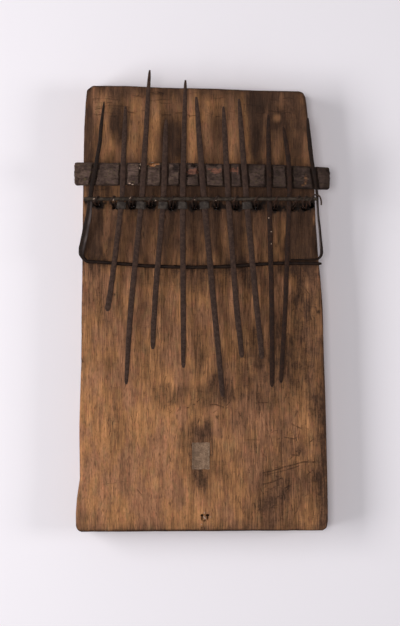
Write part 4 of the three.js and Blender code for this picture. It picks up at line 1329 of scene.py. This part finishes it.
def pressure_bar(finish):
    stops = np.linspace(BAR_LOW.x + 0.1 * MM, BAR_HIGH.x - 0.1 * MM, 60)
    line, _ = sections(("pressure_bar",), 0, stops)
    line[:, 1] += 0.12 * MM * lumps(line, 20 * MM, 31)
    piece = swept(
        "pressure_bar", line, BAR_RADIUS + 0.05 * MM, BAR_RADIUS + 0.05 * MM, finish,
        sides=16, step=0.8 * MM, squareness=2.2, hammering=0.05 * MM, lump_size=3 * MM, seed=21.0,
    )
    return finish_piece(piece, finish, "board", "bar_iron", "pressure_bar")


def rubbed(piece, node_name, finish, arm, halves, way):
    """Bare metal along an arm's inner edge, with a painted highlight there too, from its sections' middles
    and half sizes, and the way in.
    """
    at = mesh_points(piece)
    order = np.argsort(arm[:, 1])
    middle = np.interp(at[:, 1], arm[order, 1], arm[order, 0])
    half = np.interp(at[:, 1], arm[order, 1], halves[order, 0])
    inner = smooth((at[:, 0] - middle) / half * way, 0.05, 0.5)
    along = smooth(at[:, 1], 26 * MM, 32 * MM) * smooth(at[:, 1], 60 * MM, 50 * MM)
    paint(piece, "marks", inner * along * (0.8 + 0.4 * lumps(at, 3 * MM, 51)))
    return finish_piece(piece, finish, "board", "bridge_iron", node_name)


def front_bridge(finish):
    """The rod from its right end to the left, round the bend, and back along the arm that it ends in."""
    low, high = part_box("front_bridge")
    name = ("front_bridge",)
    pivot = (low.x + BRIDGE_BEND[0], low.y + BRIDGE_BEND[1])
    rod, rod_halves = sections(name, 0, stops_between(high.x, pivot[0], 2 * MM), pivot[1])
    bend, bend_halves = fan(name, pivot, np.radians(np.linspace(-95, -180, 16)))
    arm, arm_halves = sections(name, 1, stops_between(pivot[1], high.y, 1.5 * MM))
    line = np.concatenate([rod, bend[:-1], arm])
    halves = np.concatenate([rod_halves, bend_halves[:-1], arm_halves])
    piece = swept(
        "front_bridge", line, halves[:, 0], halves[:, 1], finish,
        sides=18, step=0.7 * MM, squareness=3.0, hammering=0.05 * MM, lump_size=4 * MM, seed=31.0,
    )
    return rubbed(piece, "front_bridge", finish, arm, arm_halves, 1)


def right_arm(finish):
    """The thin tail behind the rod, the bend at the board's edge, and the strip back over the backrest."""
    low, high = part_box("right_arm")
    name = ("right_arm",)
    pivot = (high.x + ARM_BEND[0], low.y + ARM_BEND[1])
    tail, tail_halves = sections(name, 0, stops_between(low.x, pivot[0], 2 * MM), pivot[1])
    bend, bend_halves = fan(name, pivot, np.radians(np.linspace(-80, -8, 10)))
    arm, arm_halves = sections(name, 1, stops_between(pivot[1] + MM, high.y, 1.5 * MM))
    line = np.concatenate([tail, bend, arm])
    halves = np.concatenate([tail_halves, bend_halves, arm_halves])
    piece = swept(
        "right_arm", line, halves[:, 0], halves[:, 1], finish,
        sides=16, step=0.6 * MM, squareness=3.0, hammering=0.04 * MM, lump_size=4 * MM, seed=41.0,
    )
    return rubbed(piece, "right_arm", finish, arm, arm_halves, -1)


# Buzzers: sheet bent round a tine, its lips flared and uneven


BUZZER_SHEET = 0.6 * MM
BUZZER_SQUARENESS = 3.2
BUZZER_GRID = (40, 12)

# Half the opening in the sleeve's seam, in radians
SEAM = 0.14


def buzzer(number, finish):
    node_name = f"buzzer_{number}"
    heading = np.array(JOINTS[f"buzzer_{number}_slide"]["axis"])
    across = np.cross((0, 0, 1), heading)
    across /= np.linalg.norm(across)
    upward = np.cross(heading, across)
    points = mesh_points(frame["nodes"][node_name])
    middle = (points.min(axis=0) + points.max(axis=0)) / 2
    reach = [(points - middle) @ way for way in (across, upward, heading)]
    half_width, half_height, half_length = [np.abs(values).max() for values in reach]
    around, along = BUZZER_GRID
    made = []
    for j in range(along + 1):
        share = j / along * 2 - 1
        flare = 1 + 0.05 * max(share - 0.4, 0) + (0.10 * max(share - 0.2, 0) if number == 7 else 0)
        for i in range(around + 1):
            turn = -math.pi / 2 + SEAM + 2 * (math.pi - SEAM) * i / around
            c, s = math.cos(turn), math.sin(turn)
            square = (abs(c) ** BUZZER_SQUARENESS + abs(s) ** BUZZER_SQUARENESS) ** (-1 / BUZZER_SQUARENESS)
            wide = (half_width - BUZZER_SHEET / 2) * c * square * flare
            tall = (half_height - BUZZER_SHEET / 2) * s * square
            made.append(middle + across * wide + upward * tall + heading * share * (half_length - 0.1 * MM))
    piece = mesh_object(node_name, made, sheet_faces(around, along))
    at = mesh_points(piece)
    end = np.abs((at - middle) @ heading) / half_length
    uneven = 0.3 * MM * lumps(at, 2.2 * MM, 200 + number) * smooth(end, 0.5, 1)
    at += heading * np.minimum(uneven, 0)[:, None] * np.sign((at - middle) @ heading)[:, None]
    at += upward * (0.08 * MM * lumps(at, 1.8 * MM, 220 + number))[:, None]
    set_points(piece, at)
    solid = piece.modifiers.new("sheet", "SOLIDIFY")
    solid.thickness = BUZZER_SHEET
    solid.offset = 0
    edge = piece.modifiers.new("edge", "BEVEL")
    edge.width = 0.12 * MM
    edge.segments = 2
    edge.limit_method = "ANGLE"
    settle(piece)
    return finish_piece(piece, finish, node_name, "buzzer_iron", node_name)


# Backrest

# Breaks in the bar as they lie in the photograph: pixel, half sizes, depth in millimetres and colour
BREAKS = {
    "chip by 3": (152, 164.6, 4.2, 2.6, 0.9, "light"),
    "chip by 3, right": (157, 163.8, 2.6, 1.8, 0.6, "light"),
    "chip by 5": (193, 172.3, 6.5, 3, 0.6, "red"),
    "notch by 5": (194, 165.5, 4.2, 2.4, 1.6, "dark"),
    "under the chip by 5": (191, 176.5, 5, 1.2, 0.9, "dark"),
    "chip by 6": (216, 171.5, 5.5, 2.7, 0.5, "red"),
    "chip by 6, left": (209, 169.5, 2.4, 1.4, 0.4, "red"),
    "notch by 6": (213, 165, 5, 1.6, 0.8, "dark"),
    "chip by 7": (232.5, 170.8, 3.4, 2.2, 0.5, "red"),
    "streak by 7": (237.2, 171.5, 0.8, 4, 0.4, "red"),
    "streak, right": (305.2, 180.5, 1.3, 5, 0.35, "worn"),
    "streak, right, low": (302.5, 186, 2.2, 1, 0.3, "worn"),
    "left end": (80, 173, 6, 8, 0.4, "plain"),
    "left end, front": (76, 180, 4, 4, 0.5, "plain"),
    "by 4": (176, 169, 3.5, 4, 0.7, "dark"),
    "between 5 and 4": (177, 180, 3, 2.5, 0.6, "plain"),
    "right notch": (327.7, 171.2, 2.2, 2.5, 1.2, "plain"),
    "right end, rear": (322, 165, 4, 1.6, 0.7, "plain"),
}


BACKREST_VOXEL = 0.36 * MM
ROUNDING_PASSES = 14


def backrest(finish):
    solid = frame["nodes"]["backrest"]
    faces = [polygon.vertices for polygon in solid.data.polygons]
    piece = mesh_object("backrest", mesh_points(solid), faces)
    weld = piece.modifiers.new("weld", "WELD")
    weld.merge_threshold = 0.002 * MM
    remesh = piece.modifiers.new("remesh", "REMESH")
    remesh.mode = "VOXEL"
    remesh.voxel_size = BACKREST_VOXEL
    rounding = piece.modifiers.new("rounding", "SMOOTH")
    rounding.factor = 0.5
    rounding.iterations = ROUNDING_PASSES
    settle(piece)
    at, out = mesh_points(piece), mesh_normals(piece)
    rough = 0.22 * MM * lumps(at, (8 * MM, 1.9 * MM, 1.9 * MM), 301)
    rough += 0.12 * MM * lumps(at, (4 * MM, 0.8 * MM, 0.8 * MM), 302)
    gouges = 0.5 * MM * smooth(lumps(at, (9 * MM, 1.4 * MM, 1.4 * MM), 303), 0.5, 0.9)
    inward = np.maximum(0.22 * MM - rough, 0) + gouges
    upper = smooth(at[:, 2], BOARD_TOP + 3.5 * MM, BOARD_TOP + 5.5 * MM)
    shades = {name: np.zeros(len(at)) for name in ("plain", "light", "worn", "red", "dark")}
    edge = 0.35 * lumps(at, (1.6 * MM, 0.8 * MM, 1.0 * MM), 304) + 0.2 * lumps(at, 0.6 * MM, 306)
    for px, py, half_x, half_y, depth, shade in BREAKS.values():
        x, y = photo_spot(px, py)
        across = (at[:, 0] - x) / (half_x * PHOTO_STEP)
        along = (at[:, 1] - y) / (half_y * PHOTO_STEP)
        far = np.hypot(across, along)
        inside = smooth(far + edge, 1.15, 0.8) * upper
        inward += depth * MM * inside * (0.6 + 0.4 * lumps(at, 0.9 * MM, 305))
        shades[shade] = np.maximum(shades[shade], inside)
    seat = smooth(at[:, 2], BOARD_TOP + 0.2 * MM, BOARD_TOP + 1.2 * MM)
    at -= out * (inward * seat)[:, None]
    set_points(piece, at)
    light = 0.9 * shades["light"] + 0.24 * shades["worn"]
    paint(piece, "marks", 0.75 * shades["red"], light, 0.8 * shades["dark"])
    return finish_piece(piece, finish, "board", "backrest_wood", "backrest")


# Label

LABEL_GRID = (24, 36)
PAPER_THICKNESS = 0.12 * MM


def paper_label(finish):
    low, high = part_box("paper_label")
    columns, rows = LABEL_GRID
    made = []
    for j, i in itertools.product(range(rows + 1), range(columns + 1)):
        made.append((low.x + (high.x - low.x) * i / columns, low.y + (high.y - low.y) * j / rows, low.z))
    piece = mesh_object("paper_label", made, sheet_faces(columns, rows))

    def to_edge(points):
        """How far each point is from the nearest edge."""
        across = np.minimum(points[:, 0] - low.x, high.x - points[:, 0])
        return np.minimum(across, np.minimum(points[:, 1] - low.y, high.y - points[:, 1]))

    at = mesh_points(piece)
    edge = to_edge(at)
    inward = np.array([(low.x + high.x) / 2, (low.y + high.y) / 2, 0]) - at * (1, 1, 0)
    ragged = smooth(edge, 0.5 * MM, 0) * 0.25 * MM * np.abs(lumps(at, 1.3 * MM, 401))
    at += unit(inward) * ragged[:, None]
    at[:, 2] = low.z + 0.1 * MM * (1 + lumps(at, 5 * MM, 402)) * smooth(edge, 1.6 * MM, 0) * 0.6
    set_points(piece, at)
    solid = piece.modifiers.new("paper", "SOLIDIFY")
    solid.thickness = PAPER_THICKNESS
    solid.offset = 1
    settle(piece)
    at = mesh_points(piece)
    edge = to_edge(at)
    grimy = smooth(edge + 0.5 * MM * lumps(at, 1.2 * MM, 403), 1.0 * MM, 0.2 * MM)
    worn = smooth(edge + 0.3 * MM * lumps(at, 0.7 * MM, 404), 0.45 * MM, 0.1 * MM)
    shade = smooth(at[:, 0] + 1.2 * MM * lumps(at, 2.4 * MM, 405), high.x - MM, low.x)
    paint(piece, "marks", 0.4 * grimy * (1 - worn) + 0.42 * shade, 0.5 * worn)
    return finish_piece(piece, finish, "board", "label_paper", "paper_label", smooth_angle=math.radians(40))


# Flecks of pale wood and dust caught on the pieces

FLECK_THICKNESS = 0.35 * MM

# Each: its pixel, its length and width in millimetres, and its turn in degrees
FLECKS = {
    "bar": (
        (94.8, 199.5, 1.2, 0.6, 20), (111.5, 197.8, 1.5, 0.8, -20), (114, 200.5, 1.0, 0.6, 60),
        (131, 199, 1.4, 0.8, 80), (132.2, 201.5, 1.1, 0.6, 100), (155.8, 201, 1.0, 0.5, 80),
        (194.2, 200.5, 0.9, 0.5, 10), (215.5, 201, 0.9, 0.5, 0),
    ),
    "backrest": (
        (140.3, 165.4, 1.3, 0.5, 70), (139.8, 168.5, 1.5, 0.5, 100), (130, 184, 1.3, 0.7, -15),
        (133, 185, 1.1, 0.5, 10), (152, 163.4, 2.0, 0.5, 15), (155.6, 166, 1.6, 0.4, -10),
    ),
    "board": (
        (204.6, 517.6, 2.0, 0.8, -52), (204.4, 513, 0.9, 0.5, 80), (201.6, 524.3, 0.7, 0.5, 90),
        (210.3, 517, 0.9, 0.4, 80),
    ),
    "tine_8": ((268.4, 218.4, 0.8, 0.6, 30), (271, 232, 0.7, 0.5, 0), (271, 244, 0.7, 0.5, 60)),
}


def fleck_tree():
    """A small torn lump at each point, turned and sized by the point's attributes."""
    inputs = {"Points": "Geometry", "Roughness": "Float", "Finish": "Material"}
    tree, given, result = new_tree("flecks", "GeometryNodeTree", inputs, {"Flecks": "Geometry"})
    lump = node(tree, "GeometryNodeMeshIcoSphere", {"Radius": 0.5, "Subdivisions": 3}).outputs[0]
    size, turn = [
        node(tree, "GeometryNodeInputNamedAttribute", {"Name": name}, data_type="FLOAT_VECTOR").outputs[0]
        for name in ("size", "turn")
    ]
    rotation = node(tree, "FunctionNodeEulerToRotation", {0: turn}).outputs[0]
    placing = {"Points": given["Points"], "Instance": lump, "Scale": size, "Rotation": rotation}
    placed = node(tree, "GeometryNodeInstanceOnPoints", placing).outputs[0]
    shape = node(tree, "GeometryNodeRealizeInstances", {"Geometry": placed}).outputs[0]
    place = node(tree, "GeometryNodeInputPosition").outputs[0]
    tear = noise(tree, place, scale=2600.0, detail=1, output=1)
    torn = vector_math(tree, "SUBTRACT", tear, (0.5, 0.5, 0.5))
    moved = {"Geometry": shape, "Offset": vector_math(tree, "SCALE", torn, Scale=given["Roughness"])}
    shape = node(tree, "GeometryNodeSetPosition", moved).outputs[0]
    finished = {"Geometry": shape, "Material": given["Finish"]}
    shape = node(tree, "GeometryNodeSetMaterial", finished).outputs[0]
    tree.links.new(shape, result.inputs[0])
    return tree


def flecks(pieces, finish):
    """The flecks on each of the pieces, laid on its upper side."""
    tree = fleck_tree()
    evaluated = bpy.context.evaluated_depsgraph_get()
    for node_name, flecks_on_it in FLECKS.items():
        below = BVHTree.FromObject(pieces[node_name], evaluated)
        places, sizes, turns = [], [], []
        for px, py, length, width, turn in flecks_on_it:
            x, y = photo_spot(px, py)
            hit, way, _, _ = below.ray_cast(Vector((x, y, 0.1)), Vector((0, 0, -1)))
            if hit is None:
                continue
            places.append(hit + way * 0.08 * MM)
            sizes.append((length * MM, width * MM, FLECK_THICKNESS))
            turns.append((0, 0, math.radians(turn)))
        piece = mesh_object(f"flecks_{node_name}", places, [])
        for label, values in {"size": sizes, "turn": turns}.items():
            add_attribute(piece, label, "FLOAT_VECTOR", "vector", values)
        run_tree(piece, tree, {"Roughness": 0.5 * MM, "Finish": finish})
        body = node_name if node_name.startswith("tine") else "board"
        finish_piece(piece, finish, body, "board_wood")


# The studio

BACKDROP = colour(0.8, 0.768, 0.815)
FLOOR_REACH = 3
CAMERA_DISTANCE = 1.3

# How far from the object's middle the floor starts to turn into the backdrop, and is all backdrop
FADE_START = 0.19
FADE_END = 0.28

# Each soft light: its angle from overhead in degrees, its distance, its sizes and its power
SOFTBOXES = {
    "left softbox": (-50, 0.9, 0.38, 0.75, 6.0),
    "right softbox": (54, 1.4, 0.5, 0.4, 5.0),
    "overhead softbox": (-6, 1.7, 0.3, 0.3, 6.4),
}


def floor():
    """A pale sheet that runs into the backdrop from about the corners of the photograph's frame outwards."""
    corners = [(x * FLOOR_REACH, y * FLOOR_REACH, 0) for x, y in ((-1, -1), (1, -1), (1, 1), (-1, 1))]
    piece = mesh_object("floor", corners, [(0, 1, 2, 3)])
    material, tree, shader, place = new_material("floor")
    pale = colour(0.875, 0.838, 0.885)
    feed(tree, shader, {"Base Color": pale, "Roughness": 0.9, "Specular IOR Level": 0.1})
    away = map_range(tree, vector_math(tree, "LENGTH", place, output="Value"), FADE_START, FADE_END)
    seen = tree.nodes.new("ShaderNodeLightPath").outputs["Is Camera Ray"]
    backdrop = node(tree, "ShaderNodeEmission", {"Color": BACKDROP, "Strength": 1.0})
    shaders = {0: times(tree, away, seen), 1: shader.outputs[0], 2: backdrop.outputs[0]}
    mixed = node(tree, "ShaderNodeMixShader", shaders)
    tree.links.new(mixed.outputs[0], tree.nodes["Material Output"].inputs["Surface"])
    piece.data.materials.append(material)


def softbox(name, angle, distance, size_x, size_y, power):
    """A soft light over one side, that angle from overhead, facing the object."""
    lamp = bpy.data.lights.new(name, "AREA")
    lamp.shape = "RECTANGLE"
    lamp.size = size_x
    lamp.size_y = size_y
    lamp.energy = power
    holder = bpy.data.objects.new(name, lamp)
    turn = math.radians(angle)
    holder.location = (math.sin(turn) * distance, 0, math.cos(turn) * distance)
    holder.rotation_euler = (0, turn, 0)
    bpy.context.scene.collection.objects.link(holder)


def studio_world():
    """Even white light from all round, and a pale backdrop to the camera and in reflections."""
    world = bpy.data.worlds.new("studio")
    world.use_nodes = True
    tree = world.node_tree
    ambient = tree.nodes["Background"]
    ambient.inputs["Color"].default_value = colour(1.0, 0.99, 1.0)
    ambient.inputs["Strength"].default_value = 0.19
    backdrop = node(tree, "ShaderNodeBackground", {"Color": BACKDROP, "Strength": 1.0})
    path = tree.nodes.new("ShaderNodeLightPath").outputs
    mirrored = calculate(tree, "MAXIMUM", path["Is Glossy Ray"], path["Is Transmission Ray"])
    seen = calculate(tree, "MAXIMUM", path["Is Camera Ray"], mirrored)
    mixed = node(tree, "ShaderNodeMixShader", {0: seen, 1: ambient.outputs[0], 2: backdrop.outputs[0]})
    tree.links.new(mixed.outputs[0], tree.nodes["World Output"].inputs["Surface"])
    bpy.context.scene.world = world


def camera():
    """Straight above the board, with the photograph's frame at its top face."""
    data = bpy.data.cameras.new("camera")
    data.sensor_fit = "VERTICAL"
    data.sensor_height = 24
    data.lens = data.sensor_height * CAMERA_DISTANCE / (PHOTO_SIZE[1] * PHOTO_STEP)
    data.clip_end = 20
    holder = bpy.data.objects.new("camera", data)
    x, y = photo_spot(PHOTO_SIZE[0] / 2, PHOTO_SIZE[1] / 2)
    holder.location = (x, y, BOARD_TOP + CAMERA_DISTANCE)
    bpy.context.scene.collection.objects.link(holder)
    bpy.context.scene.camera = holder


def main():
    camera()
    studio_world()
    for name, sizes in SOFTBOXES.items():
        softbox(name, *sizes)
    floor()
    irons = {name: iron(name, highlit_and_rubbed=name == "bridge") for name in IRONS}
    pieces = {"board": board(), "backrest": backrest(backrest_wood())}
    for number in TINES:
        pieces[f"tine_{number}"] = tine(number, irons["dark tine" if number in DARK_TINES else "tine"])
    for number in BUZZED_TINES:
        buzzer(number, irons["buzzer"])
    pieces["bar"] = pressure_bar(irons["bar"])
    lashing_wire(irons["wire"])
    front_bridge(irons["bridge"])
    right_arm(irons["bridge"])
    paper_label(old_paper())
    flecks(pieces, pale_wood())
    bpy.context.scene.view_settings.view_transform = "Standard"


main()
